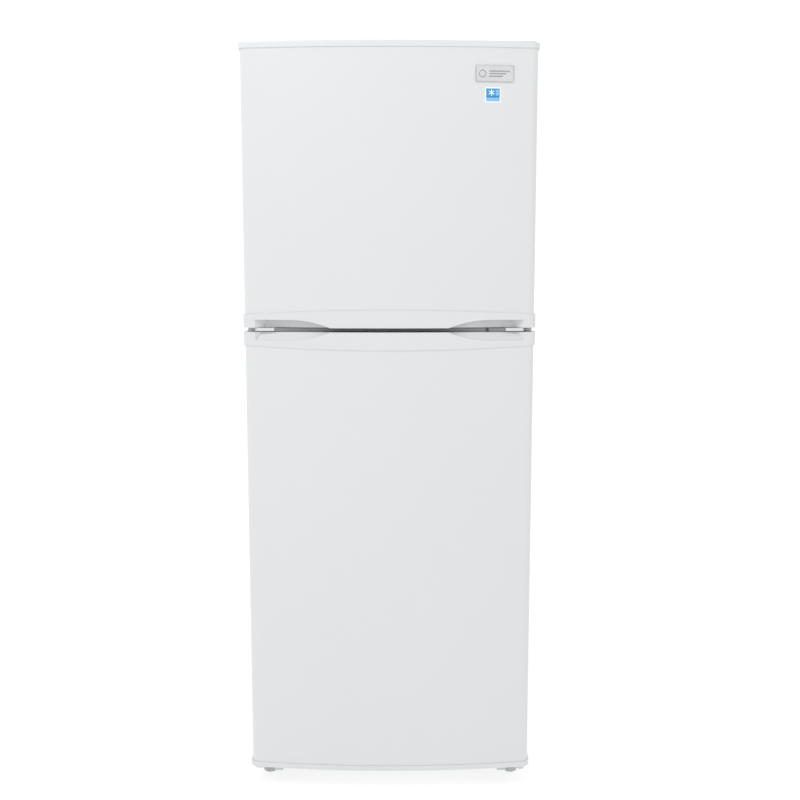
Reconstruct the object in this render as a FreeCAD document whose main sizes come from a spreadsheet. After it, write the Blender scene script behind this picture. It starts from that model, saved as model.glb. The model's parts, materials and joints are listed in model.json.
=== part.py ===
import FreeCAD, Part

import math
import os

import Sketcher

# A two-door top freezer refrigerator, in millimetres. +Z is up, the doors face -Y, and +X is the hinge
# side. The origin is on the ground under the middle of the object.

DIMS = {
    # cabinet
    "cabinet_width": 540,
    "cabinet_front": -230,
    "cabinet_back": 273,
    "cabinet_base": 38,
    "cabinet_top": 1405,
    "sheet_steel": 1,
    "flange_width": 15,
    "plastic_wall": 1.5,
    "rail_base": 872,
    "rail_top": 932,
    "deck_lip_top": 52,
    "room_front": 105,
    "room_top": 246,
    # compartments
    "fridge_half": 222,
    "fridge_floor": 92,
    "fridge_ceiling": 868,
    "fridge_back": 235,
    "step_front": 62,
    "step_top": 292,
    "freezer_half": 215,
    "freezer_floor": 935,
    "freezer_ceiling": 1350,
    "freezer_back": 240,
    "shelf_front": -140,
    "lower_shelf": 500,
    "upper_shelf": 680,
    "crisper_shelf": 300,
    "freezer_shelf": 1140,
    "ledge": 6,
    "glass_thick": 4,
    # doors
    "door_face": -298.5,
    "door_bow": 20,
    "door_back": -240,
    "edge_round": 14,
    "fridge_door_base": 44,
    "fridge_door_top": 898,
    "freezer_door_base": 906,
    "freezer_door_top": 1420,
    "end_cap": 11,
    "grip_cap": 23,
    "grip_arch": 10,
    "cap_side": 3,
    "cap_proud": 1.5,
    "cap_wall": 3,
    "gasket_gap": 0.4,
    "gasket_half": 255,
    "gasket_width": 13,
    "dyke_width": 16,
    "dyke_half": 205,
    "dyke_back": -190,
    # finger scoops: how far they reach, and how deep they are at the gap and at their far edge
    "scoop_inner": 110,
    "scoop_flat": 185,
    "scoop_outer": 250,
    "scoop_height": 15,
    "freezer_scoop_mouth": 16,
    "freezer_scoop_far": 20,
    "fridge_scoop_mouth": 12,
    "fridge_scoop_far": 1,
    # hinges
    "hinge_x": 258,
    "hinge_y": -255,
    "pin_radius": 4,
    "running_gap": 0.08,
    "hinge_plate": 3,
    "ear_front": -279,
    "ear_thick": 5.6,
    "nose_front": -275,
    "nose_thick": 5.2,
    # feet and rollers
    "foot_x": 244,
    "foot_y": -200,
    "foot_radius": 13.5,
    "roller_x": 227,
    "roller_y": 236,
    "roller_radius": 12,
    # machine room
    "compressor_x": 70,
    "compressor_y": 188,
    "tube_radius": 3,
    "condenser_y": 291,
    "condenser_half": 190,
    "condenser_base": 360,
    "condenser_pitch": 58,
    "gland_x": -190,
    "gland_z": 275,
    "gland_bore": 4.5,
    # fan
    "fan_z": 1292,
    "fan_y": 205,
    "fan_radius": 46,
}


class Dim:
    """A size that carries both its number and the spreadsheet formula that it comes from."""

    def __init__(self, number, formula):
        self.number = number
        self.formula = formula

    def __add__(self, other):
        return Dim(self.number + number(other), f"({self.formula} + {formula(other)})")

    def __radd__(self, other):
        return Dim(number(other) + self.number, f"({formula(other)} + {self.formula})")

    def __sub__(self, other):
        return Dim(self.number - number(other), f"({self.formula} - {formula(other)})")

    def __rsub__(self, other):
        return Dim(number(other) - self.number, f"({formula(other)} - {self.formula})")

    def __mul__(self, other):
        return Dim(self.number * number(other), f"({self.formula} * {formula(other)})")

    __rmul__ = __mul__

    def __truediv__(self, other):
        return Dim(self.number / number(other), f"({self.formula} / {formula(other)})")

    def __neg__(self):
        return Dim(-self.number, f"(0 - {self.formula})")


def number(value):
    return value.number if isinstance(value, Dim) else value


def formula(value):
    return value.formula if isinstance(value, Dim) else f"({value:.6f})"


def root(value):
    return Dim(math.sqrt(value.number), f"sqrt({value.formula})")


doc = FreeCAD.newDocument("Refrigerator")
sheet = doc.addObject("Spreadsheet::Sheet", "Dims")
size = {}
for row, (word, value) in enumerate(DIMS.items(), start=1):
    sheet.set(f"A{row}", word)
    sheet.set(f"B{row}", str(value))
    sheet.setAlias(f"B{row}", word)
    size[word] = Dim(value, f"Dims.{word}")
doc.recompute()

parts = []
TURNS = {
    "X": FreeCAD.Rotation(FreeCAD.Vector(0, 1, 0), 90),
    "Y": FreeCAD.Rotation(FreeCAD.Vector(1, 0, 0), -90),
    "Z": FreeCAD.Rotation(),
}
AXES = "XYZ"


# ---- small helpers -------------------------------------------------------------------------------


def both(half):
    return (-half, half)


def about(centre, width):
    return (centre - width / 2, centre + width / 2)


def bind(thing, prop, value):
    thing.setExpression(prop, formula(value))


def place(thing, x, y, z):
    bind(thing, "Placement.Base.x", x)
    bind(thing, "Placement.Base.y", y)
    bind(thing, "Placement.Base.z", z)


def box(x, y, z):
    solid = doc.addObject("Part::Box", "Block")
    bind(solid, "Length", x[1] - x[0])
    bind(solid, "Width", y[1] - y[0])
    bind(solid, "Height", z[1] - z[0])
    place(solid, x[0], y[0], z[0])
    return solid


def along(axis, start, centre):
    """Put a start on one axis and the two centre coordinates on the others, in X, Y, Z order."""
    where = list(centre)
    where.insert(AXES.index(axis), start)
    return where


def rod(axis, span, centre, radius):
    solid = doc.addObject("Part::Cylinder", "Rod")
    solid.Placement = FreeCAD.Placement(FreeCAD.Vector(), TURNS[axis])
    bind(solid, "Radius", radius)
    bind(solid, "Height", span[1] - span[0])
    place(solid, *along(axis, span[0], centre))
    return solid


def bend(centre, ring_radius, tube_radius, rotation, sweep=180):
    """Part of a ring: from its own +X, counter-clockwise about its own Z, then turned."""
    solid = doc.addObject("Part::Torus", "Bend")
    solid.Placement = FreeCAD.Placement(FreeCAD.Vector(), rotation)
    bind(solid, "Radius1", ring_radius)
    bind(solid, "Radius2", tube_radius)
    solid.Angle3 = sweep
    place(solid, *centre)
    return solid


def u_turn(side, centre, ring_radius, tube_radius):
    """A half ring in the XZ plane that joins two runs at their right or left ends."""
    upright = FreeCAD.Rotation(FreeCAD.Vector(1, 0, 0), 90)
    start = FreeCAD.Rotation(FreeCAD.Vector(0, 0, 1), -90 * side)
    return bend(centre, ring_radius, tube_radius, upright.multiply(start))


def fuse(*solids):
    joined = doc.addObject("Part::MultiFuse", "Fused")
    joined.Shapes = list(solids)
    return joined


def group(*solids):
    together = doc.addObject("Part::Compound", "Group")
    together.Links = list(solids)
    return together


def cut(base, *tools):
    result = doc.addObject("Part::Cut", "Cut")
    result.Base = base
    result.Tool = tools[0] if len(tools) == 1 else group(*tools)
    return result


def common(first, second):
    result = doc.addObject("Part::Common", "Shared")
    result.Base = first
    result.Tool = second
    return result


def part(name, solid):
    solid.Label = name
    parts.append(solid)


def plane(body, role):
    return next(item for item in body.Origin.OriginFeatures if item.Role == role)


def hold(sketch, edge, end, x, y):
    """Fix one end of a sketch edge by its two coordinates."""
    for kind, value in (("DistanceX", x), ("DistanceY", y)):
        index = sketch.addConstraint(Sketcher.Constraint(kind, -1, 1, edge, end, number(value)))
        bind(sketch, f"Constraints[{index}]", value)


def arc_through(start, end, radius):
    """The short arc counter-clockwise from start to end."""
    middle = (start + end) / 2
    chord = end - start
    reach = math.sqrt(max(radius**2 - (chord.Length / 2) ** 2, 0))
    side = FreeCAD.Vector(-chord.y, chord.x, 0).normalize()
    centre = middle + side * reach
    first = math.atan2(start.y - centre.y, start.x - centre.x)
    last = math.atan2(end.y - centre.y, end.x - centre.x)
    circle = Part.Circle(centre, FreeCAD.Vector(0, 0, 1), radius)
    return Part.ArcOfCircle(circle, first, last)


def outline(body, role, offset, corners, arcs):
    """A closed sketch through the corners. arcs maps an edge's number to its radius: positive bulges
    out of a counter-clockwise outline, and negative bulges in."""
    sketch = body.newObject("Sketcher::SketchObject", "Outline")
    sketch.AttachmentSupport = (plane(body, role), [""])
    sketch.MapMode = "FlatFace"
    bind(sketch, "AttachmentOffset.Base.z", offset)
    points = [FreeCAD.Vector(number(x), number(y), 0) for x, y in corners]
    ends = []
    for index, start in enumerate(points):
        end = points[(index + 1) % len(points)]
        radius = arcs.get(index)
        if radius is None:
            sketch.addGeometry(Part.LineSegment(start, end))
            ends.append((1, 2))
        elif number(radius) > 0:
            sketch.addGeometry(arc_through(start, end, number(radius)))
            ends.append((1, 2))
        else:
            sketch.addGeometry(arc_through(end, start, -number(radius)))
            ends.append((2, 1))
    for index, (x, y) in enumerate(corners):
        before = index - 1 if index else len(corners) - 1
        joint = Sketcher.Constraint("Coincident", before, ends[before][1], index, ends[index][0])
        sketch.addConstraint(joint)
        hold(sketch, index, ends[index][0], x, y)
    for index, radius in arcs.items():
        size_of = abs(number(radius))
        rule = sketch.addConstraint(Sketcher.Constraint("Radius", index, size_of))
        bind(sketch, f"Constraints[{rule}]", radius if number(radius) > 0 else -radius)
    return sketch


def prism(axis, span, corners, arcs=None):
    """An outline padded along an axis. Corners are in the other two coordinates, in X, Y, Z order."""
    role = {"X": "YZ_Plane", "Y": "XZ_Plane", "Z": "XY_Plane"}[axis]
    body = doc.addObject("PartDesign::Body", "Body")
    offset = -span[1] if axis == "Y" else span[0]
    sketch = outline(body, role, offset, corners, arcs or {})
    pad = body.newObject("PartDesign::Pad", "Pad")
    pad.Profile = sketch
    bind(pad, "Length", span[1] - span[0])
    sketch.Visibility = False
    return body


def turned(axis, centre, corners, arcs=None):
    """A body of revolution: corners are (radius, height) with the height along the axis."""
    body = doc.addObject("PartDesign::Body", "Body")
    sketch = outline(body, "XZ_Plane", 0, corners, arcs or {})
    revolution = body.newObject("PartDesign::Revolution", "Revolution")
    revolution.Profile = sketch
    revolution.ReferenceAxis = (sketch, ["V_Axis"])
    revolution.Angle = 360
    body.Placement = FreeCAD.Placement(FreeCAD.Vector(), TURNS[axis])
    place(body, *centre)
    return body


def soften(body, radius, chosen):
    """Round the chosen edges of a body's last feature."""
    doc.recompute()
    tip = body.Tip
    edges = [f"Edge{i}" for i, edge in enumerate(tip.Shape.Edges, start=1) if chosen(edge)]
    if not edges:
        raise RuntimeError(f"no edge to round on {body.Label}")
    fillet = body.newObject("PartDesign::Fillet", "Fillet")
    fillet.Base = (tip, edges)
    bind(fillet, "Radius", radius)
    return body


def runs_along(edge, direction):
    """True for a straight edge parallel to a direction."""
    if not isinstance(edge.Curve, (Part.Line, Part.LineSegment)):
        return False
    first, last = (vertex.Point for vertex in edge.Vertexes)
    return (last - first).normalize().cross(direction).Length < 1e-6


ALONG = {"X": FreeCAD.Vector(1, 0, 0), "Y": FreeCAD.Vector(0, 1, 0), "Z": FreeCAD.Vector(0, 0, 1)}


def block(x, y, z, radius, axis):
    """A box with its four edges along one axis rounded."""
    body = prism("Z", z, [(x[0], y[0]), (x[1], y[0]), (x[1], y[1]), (x[0], y[1])])
    return soften(body, radius, lambda edge: runs_along(edge, ALONG[axis]))


def frame(x, y, z, width):
    """A flat rectangular ring that faces along Y."""
    outer = box(x, y, z)
    inner = box(
        (x[0] + width, x[1] - width), (y[0] - 1, y[1] + 1), (z[0] + width, z[1] - width)
    )
    return cut(outer, inner)


def tray(x, y, z, wall, radius):
    """An open-topped bin with rounded upright corners."""
    outer = block(x, y, z, radius, "Z")
    inner = block(
        (x[0] + wall, x[1] - wall), (y[0] + wall, y[1] - wall), (z[0] + wall, z[1] + 1), radius - wall, "Z"
    )
    return cut(outer, inner)


def shift(span, low, high):
    return (span[0] + low, span[1] + high)


# ---- sizes that follow from the driving ones --------------------------------------------------------

half = size["cabinet_width"] / 2
steel = size["sheet_steel"]
wall = size["plastic_wall"]
front = size["cabinet_front"]
back = size["cabinet_back"]
base = size["cabinet_base"]
top = size["cabinet_top"]
flange = size["flange_width"]
inside = half - steel
flange_edge = half - flange
bow_radius = (half * half + size["door_bow"] * size["door_bow"]) / (2 * size["door_bow"])
freezer_door = (size["freezer_door_base"], size["freezer_door_top"])
fridge_door = (size["fridge_door_base"], size["fridge_door_top"])
bore = size["pin_radius"] + size["running_gap"]
hinge = (size["hinge_x"], size["hinge_y"])
gap_middle = (size["fridge_door_top"] + size["freezer_door_base"]) / 2


# ---- cabinet ---------------------------------------------------------------------------------------


def wrapper(grow, y, z):
    """The cabinet's outline from the front, rounded at the top, grown or shrunk by an amount."""
    wide = half + grow
    body = prism("Y", y, [(-wide, z[0]), (wide, z[0]), (wide, z[1]), (-wide, z[1])])
    high = number(z[1])
    return soften(body, 6 + grow, lambda e: runs_along(e, ALONG["Y"]) and e.CenterOfMass.z > high - 1)


def cabinet_shell():
    """One bent steel sheet: two sides and the top, with a flange turned in round the front."""
    outer = wrapper(0, (front, back), (base, top))
    inner = wrapper(-steel, (front + steel, back + 1), (base - 1, top - steel))
    window = box(both(flange_edge), (front - 1, front + 2), (base - 1, top - flange))
    part("cabinet_shell", cut(outer, inner, window))


def rear_panel():
    panel = box(both(inside), (back - steel, back), (size["room_top"], top - steel - 5))
    gland_hole = rod("Y", (back - 5, back + 5), (size["gland_x"], size["gland_z"]), 10)
    part("rear_panel", cut(panel, gland_hole))


def bottom_deck():
    """The bent sheet under the foam: a floor, a riser and the roof of the machine room."""
    floor = box(both(inside), (front + steel, size["room_front"]), (base, base + steel))
    riser = box(
        both(inside), (size["room_front"] - steel, size["room_front"]), (base, size["room_top"])
    )
    roof_y = (size["room_front"] - steel, back - steel)
    roof = box(both(inside), roof_y, (size["room_top"] - steel, size["room_top"]))
    lip = box(both(flange_edge), (front, front + steel), (base, size["deck_lip_top"]))
    drain = rod("Z", (size["room_top"] - 5, size["room_top"] + 5), DRAIN, 6)
    part("bottom_deck", cut(fuse(floor, riser, roof, lip), drain))


def fridge_cavity(grow, y_front):
    """The fresh-food compartment's space, with the step over the machine room."""
    floor = size["fridge_floor"] - grow
    ceiling = size["fridge_ceiling"] + grow
    rear = size["fridge_back"] + grow
    step_y = size["step_front"] + grow
    step_z = size["step_top"] - grow
    corners = [
        (y_front, floor),
        (step_y, floor),
        (step_y, step_z),
        (rear, step_z),
        (rear, ceiling),
        (y_front, ceiling),
    ]
    wide = size["fridge_half"] + grow
    body = prism("X", both(wide), corners)
    side = number(wide) - 1
    return soften(
        body, 10 + grow, lambda e: runs_along(e, ALONG["Y"]) and abs(e.CenterOfMass.x) > side
    )


def freezer_cavity(grow, y_front):
    wide = size["freezer_half"] + grow
    z = (size["freezer_floor"] - grow, size["freezer_ceiling"] + grow)
    corners = [(-wide, z[0]), (wide, z[0]), (wide, z[1]), (-wide, z[1])]
    body = prism("Y", (y_front, size["freezer_back"] + grow), corners)
    return soften(body, 10 + grow, lambda e: runs_along(e, ALONG["Y"]))


def ledges(half_width, shelf_top, span):
    """Two ribs on the side walls that a shelf rests on."""
    z = (shelf_top - size["glass_thick"] - size["ledge"], shelf_top - size["glass_thick"])
    out = half_width + 0.5
    inner = half_width - size["ledge"]
    return box((inner, out), span, z), box((-out, -inner), span, z)


def fridge_liner():
    flat = (front, front + wall)
    brim = box(both(flange_edge), flat, (size["deck_lip_top"], size["rail_base"]))
    shell = fuse(fridge_cavity(wall, front), brim)
    hollow = cut(shell, fridge_cavity(0, front - 1))
    span = (size["shelf_front"] + 4, size["fridge_back"] - 20)
    short = (size["shelf_front"] + 4, size["step_front"] - 2)
    ribs = [
        rib
        for z, y in (("lower_shelf", span), ("upper_shelf", span), ("crisper_shelf", short))
        for rib in ledges(size["fridge_half"], size[z], y)
    ]
    part("fridge_liner", fuse(hollow, *ribs))


def freezer_liner():
    flat = (front, front + wall)
    brim = box(both(flange_edge), flat, (size["rail_top"], top - flange))
    shell = fuse(freezer_cavity(wall, front), brim)
    drain = rod("Z", (size["freezer_floor"] - 5, size["freezer_floor"] + 5), DRAIN, 6)
    hollow = cut(shell, freezer_cavity(0, front - 1), drain)
    ribs = ledges(size["freezer_half"], size["freezer_shelf"], (size["shelf_front"], 170))
    part("freezer_liner", fuse(hollow, *ribs))


def insulation_foam():
    """Foam that fills the space between the shell, the liners, the deck and the rear panel."""
    start = front + wall
    block_of_foam = wrapper(-steel, (start, back - steel), (base + steel, top - steel))
    machine_room = box(both(half), (size["room_front"] - steel, back + 1), (base, size["room_top"]))
    drain = rod("Z", (size["room_top"] - 1, size["freezer_floor"]), DRAIN, 6)
    gland = rod("Y", (250, back), (size["gland_x"], size["gland_z"]), 10)
    switch = box(SWITCH_X, (front, SWITCH_BACK), SWITCH_Z)
    part(
        "insulation_foam",
        cut(block_of_foam, machine_room, fridge_cavity(wall, front - 1), freezer_cavity(wall, front - 1),
            drain, gland, switch),
    )


def center_rail():
    """The steel strip across the front between the compartments, with a folded nose in the doors' gap."""
    strip = box(both(flange_edge), (front, front + steel), (size["rail_base"], size["rail_top"]))
    nose_y = (size["nose_front"], front + steel)
    nose_z = about(gap_middle, size["nose_thick"])
    nose = box(NOSE_X, nose_y, nose_z)
    fold = box(shift(NOSE_X, -1, 1), shift(nose_y, steel, 1), shift(nose_z, steel, -steel))
    plunger_hole = rod("Y", (front - 1, front + 2), PLUNGER, 4)
    part("center_rail", cut(fuse(strip, nose), fold, plunger_hole))


# ---- doors -----------------------------------------------------------------------------------------


def bowed(half_width, face, rear, radius, z, corner):
    """A door-shaped slab: a bowed front face, flat sides and back, and rounded front edges."""
    edge = face + radius - root(radius * radius - half_width * half_width)
    corners = [(-half_width, rear), (-half_width, edge), (half_width, edge), (half_width, rear)]
    body = prism("Z", z, corners, {1: radius})
    limit = number(rear) - 5
    return soften(body, corner, lambda e: runs_along(e, ALONG["Z"]) and e.CenterOfMass.y < limit)


def skin_slab(inset, z):
    """The slab inside the door skin's outer face, inset by an amount."""
    return bowed(
        half - inset, size["door_face"] + inset, size["door_back"], bow_radius - inset, z,
        size["edge_round"] - inset,
    )


def cap_slab(z):
    wide = half + size["cap_side"]
    face = size["door_face"] - size["cap_proud"]
    radius = bow_radius + size["cap_proud"]
    return bowed(wide, face, size["door_back"], radius, z, size["edge_round"] + 2)


def arch_cutter(edge_height, upward):
    """A wide block whose edge is the arched seam between a skin and a grip cap."""
    wide = half + 20
    radius = (wide * wide + size["grip_arch"] * size["grip_arch"]) / (2 * size["grip_arch"])
    far = edge_height - 60 if upward else edge_height + 60
    if upward:
        corners = [(-wide, far), (wide, far), (wide, edge_height), (-wide, edge_height)]
        return prism("Y", (-320, -220), corners, {2: radius})
    corners = [(-wide, edge_height), (wide, edge_height), (wide, far), (-wide, far)]
    return prism("Y", (-320, -220), corners, {0: radius})


def seam(door):
    """The seam's height at the door's edges, and whether the arch rises from there."""
    if door is freezer_door:
        return door[0] + size["grip_cap"], True
    return door[1] - size["grip_cap"], False


def door_skin(name, door):
    """The painted steel wrap: front and two sides, with small flanges turned in at the back."""
    z = (door[0] + 1, door[1] - size["end_cap"]) if door is freezer_door else (
        door[0] + size["end_cap"], door[1] - 1)
    outer = skin_slab(0, z)
    inner = skin_slab(steel, shift(z, -1, 1))
    back_gap = box(both(half - 9), (size["door_back"] - 3, size["door_back"] + 1), shift(z, -1, 1))
    rear_strip = box(both(half), (size["door_back"] - steel, size["door_back"] + 1), shift(z, -1, 1))
    inner_back = cut(inner, rear_strip)
    wrap = cut(outer, inner_back, back_gap)
    part(name, cut(wrap, arch_cutter(*seam(door))))


def door_foam(name, door, ring_z):
    """Foam inside the skin, and inside the dykes of the inner liner."""
    z = (door[0] + size["cap_wall"], door[1] - size["end_cap"]) if door is freezer_door else (
        door[0] + size["end_cap"], door[1] - size["cap_wall"])
    slab = cut(
        skin_slab(steel, z),
        box(both(half), (size["door_back"] - wall, size["door_back"] + 1), shift(z, -1, 1)),
        arch_cutter(*seam(door)),
    )
    ring = dyke_ring(ring_z, size["dyke_width"], wall)
    part(name, fuse(slab, ring))


def dyke_ring(z, width, inset):
    """The raised rim on a door's inner side, shrunk all round by an amount."""
    x = both(size["dyke_half"] - inset)
    y = (size["door_back"] - wall - inset, size["dyke_back"] - inset)
    return frame(x, y, shift(z, inset, -inset), width - 2 * inset)


def door_liner(name, door, ring_z):
    """The formed plastic sheet on the door's inner side."""
    z = (seam(door)[0] + size["grip_arch"], door[1] - size["end_cap"]) if door is freezer_door else (
        door[0] + size["end_cap"], seam(door)[0] - size["grip_arch"])
    sheet_y = (size["door_back"] - wall, size["door_back"])
    plate = box(both(half - 9), sheet_y, z)
    ring = dyke_ring(ring_z, size["dyke_width"], 0)
    part(name, cut(fuse(plate, ring), dyke_ring(ring_z, size["dyke_width"], wall)))


def gasket(name, z):
    """The magnetic seal: a ring with a hollow bellows behind its contact face."""
    y = (size["door_back"], front - size["gasket_gap"])
    ring = frame(both(size["gasket_half"]), y, z, size["gasket_width"])
    hollow = frame(
        both(size["gasket_half"] - 2), shift(y, 2, -3), shift(z, 2, -2), size["gasket_width"] - 4
    )
    part(name, cut(ring, hollow))


def scoop(side, edge, upward):
    """A finger scoop whose back follows the bow. Its outline is flat over most of its length, and curved
    down to the door's edge at one end. At the other end the back slopes out to the door's face."""
    rise = size["scoop_height"] if upward else -size["scoop_height"]
    past = -SCOOP_PAST if upward else SCOOP_PAST
    run = size["scoop_flat"] - size["scoop_inner"]
    radius = (run * run + size["scoop_height"] * size["scoop_height"]) / (2 * size["scoop_height"])
    corners = [
        (side * size["scoop_outer"], edge + past),
        (side * size["scoop_outer"], edge + rise),
        (side * size["scoop_flat"], edge + rise),
        (side * size["scoop_inner"], edge),
        (side * size["scoop_inner"], edge + past),
    ]
    bulge = -radius if upward == (side < 0) else radius
    hollow = prism("Y", (-320, size["hinge_y"]), corners, {2: bulge})
    return cut(hollow, scoop_back(edge, upward), scoop_end(side, edge))


def scoop_end(side, edge):
    """A wedge whose slope closes a scoop's outer end."""
    outer = size["scoop_outer"] + 1
    slope_end = outer - 32
    slope_y = (size["ear_front"] - 5, size["hinge_y"])
    corners = [(side * outer, slope_y[0]), (side * outer, slope_y[1]), (side * slope_end, slope_y[1])]
    if side < 0:
        corners.reverse()
    reach = size["scoop_height"] + SCOOP_PAST
    return prism("Z", (edge - reach, edge + reach), corners)


def scoop_back(edge, upward):
    """A cone about the bow's own centre line, which a scoop's back wall follows."""
    word = "freezer" if upward else "fridge"
    mouth = bow_radius - size[f"{word}_scoop_mouth"]
    far = bow_radius - size[f"{word}_scoop_far"]
    tall = size["scoop_height"]
    slope = (far - mouth) / tall
    past = SCOOP_PAST + 1
    low, high = (edge - past, edge + tall) if upward else (edge - tall, edge + past)
    cone = doc.addObject("Part::Cone", "ScoopBack")
    bind(cone, "Radius1", mouth - slope * past if upward else far)
    bind(cone, "Radius2", far if upward else mouth - slope * past)
    bind(cone, "Height", high - low)
    place(cone, 0, size["door_face"] + bow_radius, low)
    return cone


def grip_cap(name, door):
    """A door's cap on the side of the gap, with two finger scoops and a hinge bush."""
    height, upward = seam(door)
    z = (door[0], door[0] + 40) if upward else (door[1] - 40, door[1])
    solid = common(cap_slab(z), arch_cutter(height, upward))
    edge = door[0] if upward else door[1]
    pin_hole = rod("Z", (edge - 1, edge + 16) if upward else (edge - 16, edge + 1), hinge, bore)
    hollow_z = shift(z, size["cap_wall"], 0) if upward else shift(z, 0, -size["cap_wall"])
    hollow = cut(
        skin_slab(steel, hollow_z),
        box(both(half), (size["door_face"] - 5, size["hinge_y"] - 3), hollow_z),
        box((size["hinge_x"] - 10, half), (size["hinge_y"] - 10, size["door_back"]), hollow_z),
        box((-half, 10 - size["hinge_x"]), (size["hinge_y"] - 10, size["door_back"]), hollow_z),
    )
    part(name, cut(solid, hollow, pin_hole, scoop(1, edge, upward), scoop(-1, edge, upward)))


def end_cap(name, door):
    """The plain cap on a door's other end."""
    upward = door is fridge_door
    z = (door[0], door[0] + size["end_cap"]) if upward else (door[1] - size["end_cap"], door[1])
    edge = door[0] if upward else door[1]
    rear = number(size["door_back"]) - 1
    solid = soften(
        cap_slab(z), 3, lambda e: abs(e.CenterOfMass.z - number(edge)) < 0.01 and e.CenterOfMass.y < rear
    )
    bottom = size["end_cap"] - 0.5
    deep = (edge - 1, edge + bottom) if upward else (edge - bottom, edge + 1)
    part(name, cut(solid, rod("Z", deep, hinge, bore)))


def door_bins(name, spans, back_y):
    """Open bins that hang between the dykes of a door."""
    x = both(size["dyke_half"] - size["dyke_width"])
    part(name, group(*[tray(x, (size["door_back"], back_y), z, 2, 8) for z in spans]))


def on_face(name, x, z, proud):
    """A thin plate that follows the bow of the freezer door's face."""
    centre_y = size["door_face"] + bow_radius
    outer = rod("Z", z, (0, centre_y), bow_radius + proud)
    inner = rod("Z", shift(z, -1, 1), (0, centre_y), bow_radius)
    part(name, common(box(x, (-310, -280), z), cut(outer, inner)))


# ---- hinges and brackets ------------------------------------------------------------------------------


def top_hinge():
    """A plate on the cabinet's top that steps up and reaches over the door, with a pin down into it."""
    door_top = size["freezer_door_top"]
    thick = size["hinge_plate"]
    arm_z = (door_top + 1, door_top + 1 + thick)
    x = (210, half - 4)
    foot = box(x, (front + 4, -160), (top, top + thick))
    riser = box(x, (front + 4, front + 4 + thick), (top, arm_z[1]))
    arm = block(x, (size["hinge_y"] - 9, front + 4 + thick), arm_z, 3, "Z")
    pin = rod("Z", (door_top - 9, arm_z[1]), hinge, size["pin_radius"])
    holes = [rod("Z", (top - 1, top + 6), (x_hole, -185), 2.6) for x_hole in HINGE_SCREW_X]
    part("top_hinge", cut(fuse(foot, riser, arm, pin), *holes))


def top_hinge_cover():
    """A moulded cover over the cabinet's end of the top hinge. It rises towards the back."""
    door_top = size["freezer_door_top"]
    x = (204, half - 0.5)
    skin = 2
    brow, slope_end, heel, rear = -243, -229, front + 1.5, -150
    outer = prism("X", x, [
        (brow, door_top + 1.5), (heel, door_top + 1.5), (heel, top), (rear, top),
        (rear, door_top + 10), (slope_end, door_top + 10), (brow, door_top + 7),
    ])
    high, low = door_top + 10 - skin, door_top + 7 - skin
    inner = prism("X", shift(x, skin, -skin), [
        (brow + skin, door_top), (heel + skin, door_top), (heel + skin, top - 1), (rear - skin, top - 1),
        (rear - skin, high), (slope_end, high), (brow + skin, low),
    ])
    arm_slot = box(shift(x, 4, -1.5), (brow - 1, heel + 3), (door_top, door_top + 4.3))
    part("top_hinge_cover", cut(outer, inner, arm_slot))


def middle_hinge():
    """A leaf screwed to the centre rail, with a pin up into one door and a pin down into the other."""
    thick = size["hinge_plate"]
    arm = block((212, half - 3), (size["hinge_y"] - 8, front), about(gap_middle, thick), 3, "Z")
    ear = block(EAR_X, (size["ear_front"], size["hinge_y"] - 5), EAR_Z, 2, "Z")
    leaf = box((176, 250), (front - thick, front), about(gap_middle, 7))
    reach = (size["fridge_door_top"] - 12, size["freezer_door_base"] + 12)
    pins = rod("Z", reach, hinge, size["pin_radius"])
    part("middle_hinge", fuse(arm, ear, leaf, pins))


def foot_plate(side):
    """The plate under a front corner of the cabinet that a levelling foot screws through."""
    x = (211, half - 4) if side > 0 else (4 - half, -211)
    plate = block(x, (size["hinge_y"] - 10, -160), (base - 3, base), 4, "Z")
    lip_x = (211, 228) if side > 0 else (-228, -211)
    lip = box(lip_x, (size["hinge_y"] - 12, size["hinge_y"] - 9), (base - 7, base))
    nut = rod("Z", (base - 10, base - 3), (side * size["foot_x"], size["foot_y"]), 9)
    hole = rod("Z", (base - 12, base + 1), (side * size["foot_x"], size["foot_y"]), bore)
    screws = [rod("Z", (base - 4, base + 1), (side * x_hole, FOOT_SCREW_Y), 2.6) for x_hole in FOOT_SCREW_X]
    return fuse(plate, lip, nut), [hole, *screws]


def bottom_hinge():
    """The right foot plate, which also carries the fridge door's lower pin."""
    solid, holes = foot_plate(1)
    pin = rod("Z", (base - 3, size["fridge_door_base"] + 9), hinge, size["pin_radius"])
    pin_head = rod("Z", (base - 8, base - 3), hinge, 6.5)
    part("bottom_hinge", fuse(cut(solid, *holes), pin, pin_head))


def left_foot_bracket():
    solid, holes = foot_plate(-1)
    part("left_foot_bracket", cut(solid, *holes))


def pan_screw(x, y, z, length, up=1):
    """A screw along Z: a domed head above z, and a shank that goes the other way."""
    head = turned("Z", (x, y, z), [(0, 0), (5, 0), (5, up * 1), (3, up * 2.6), (0, up * 2.6)])
    shank_z = (z - length, z) if up > 0 else (z, z + length)
    return fuse(head, rod("Z", shank_z, (x, y), 2.5))


def fasteners():
    """All the loose screws and nuts: hinge screws, foot bracket screws and compressor bolts."""
    thick = size["hinge_plate"]
    screws = [pan_screw(x, -185, top + thick, thick) for x in HINGE_SCREW_X]
    for side in (-1, 1):
        screws += [pan_screw(side * x, FOOT_SCREW_Y, base - 3, 3, up=-1) for x in FOOT_SCREW_X]
    for x, y in mount_points():
        screws.append(fuse(
            rod("Z", (base + 2.5, 62), (x, y), 4),
            turned("Z", (x, y, 53), [(0, 0), (7.5, 0), (7.5, 5), (6.5, 6), (0, 6)]),
        ))
    on_leaf = (LEAF_SCREW_X, front - thick - 2, gap_middle)
    screws.append(turned("Y", on_leaf, [(0, 0), (2, 0), (3, 1), (3, 2), (0, 2)]))
    part("fasteners", group(*screws))


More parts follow.
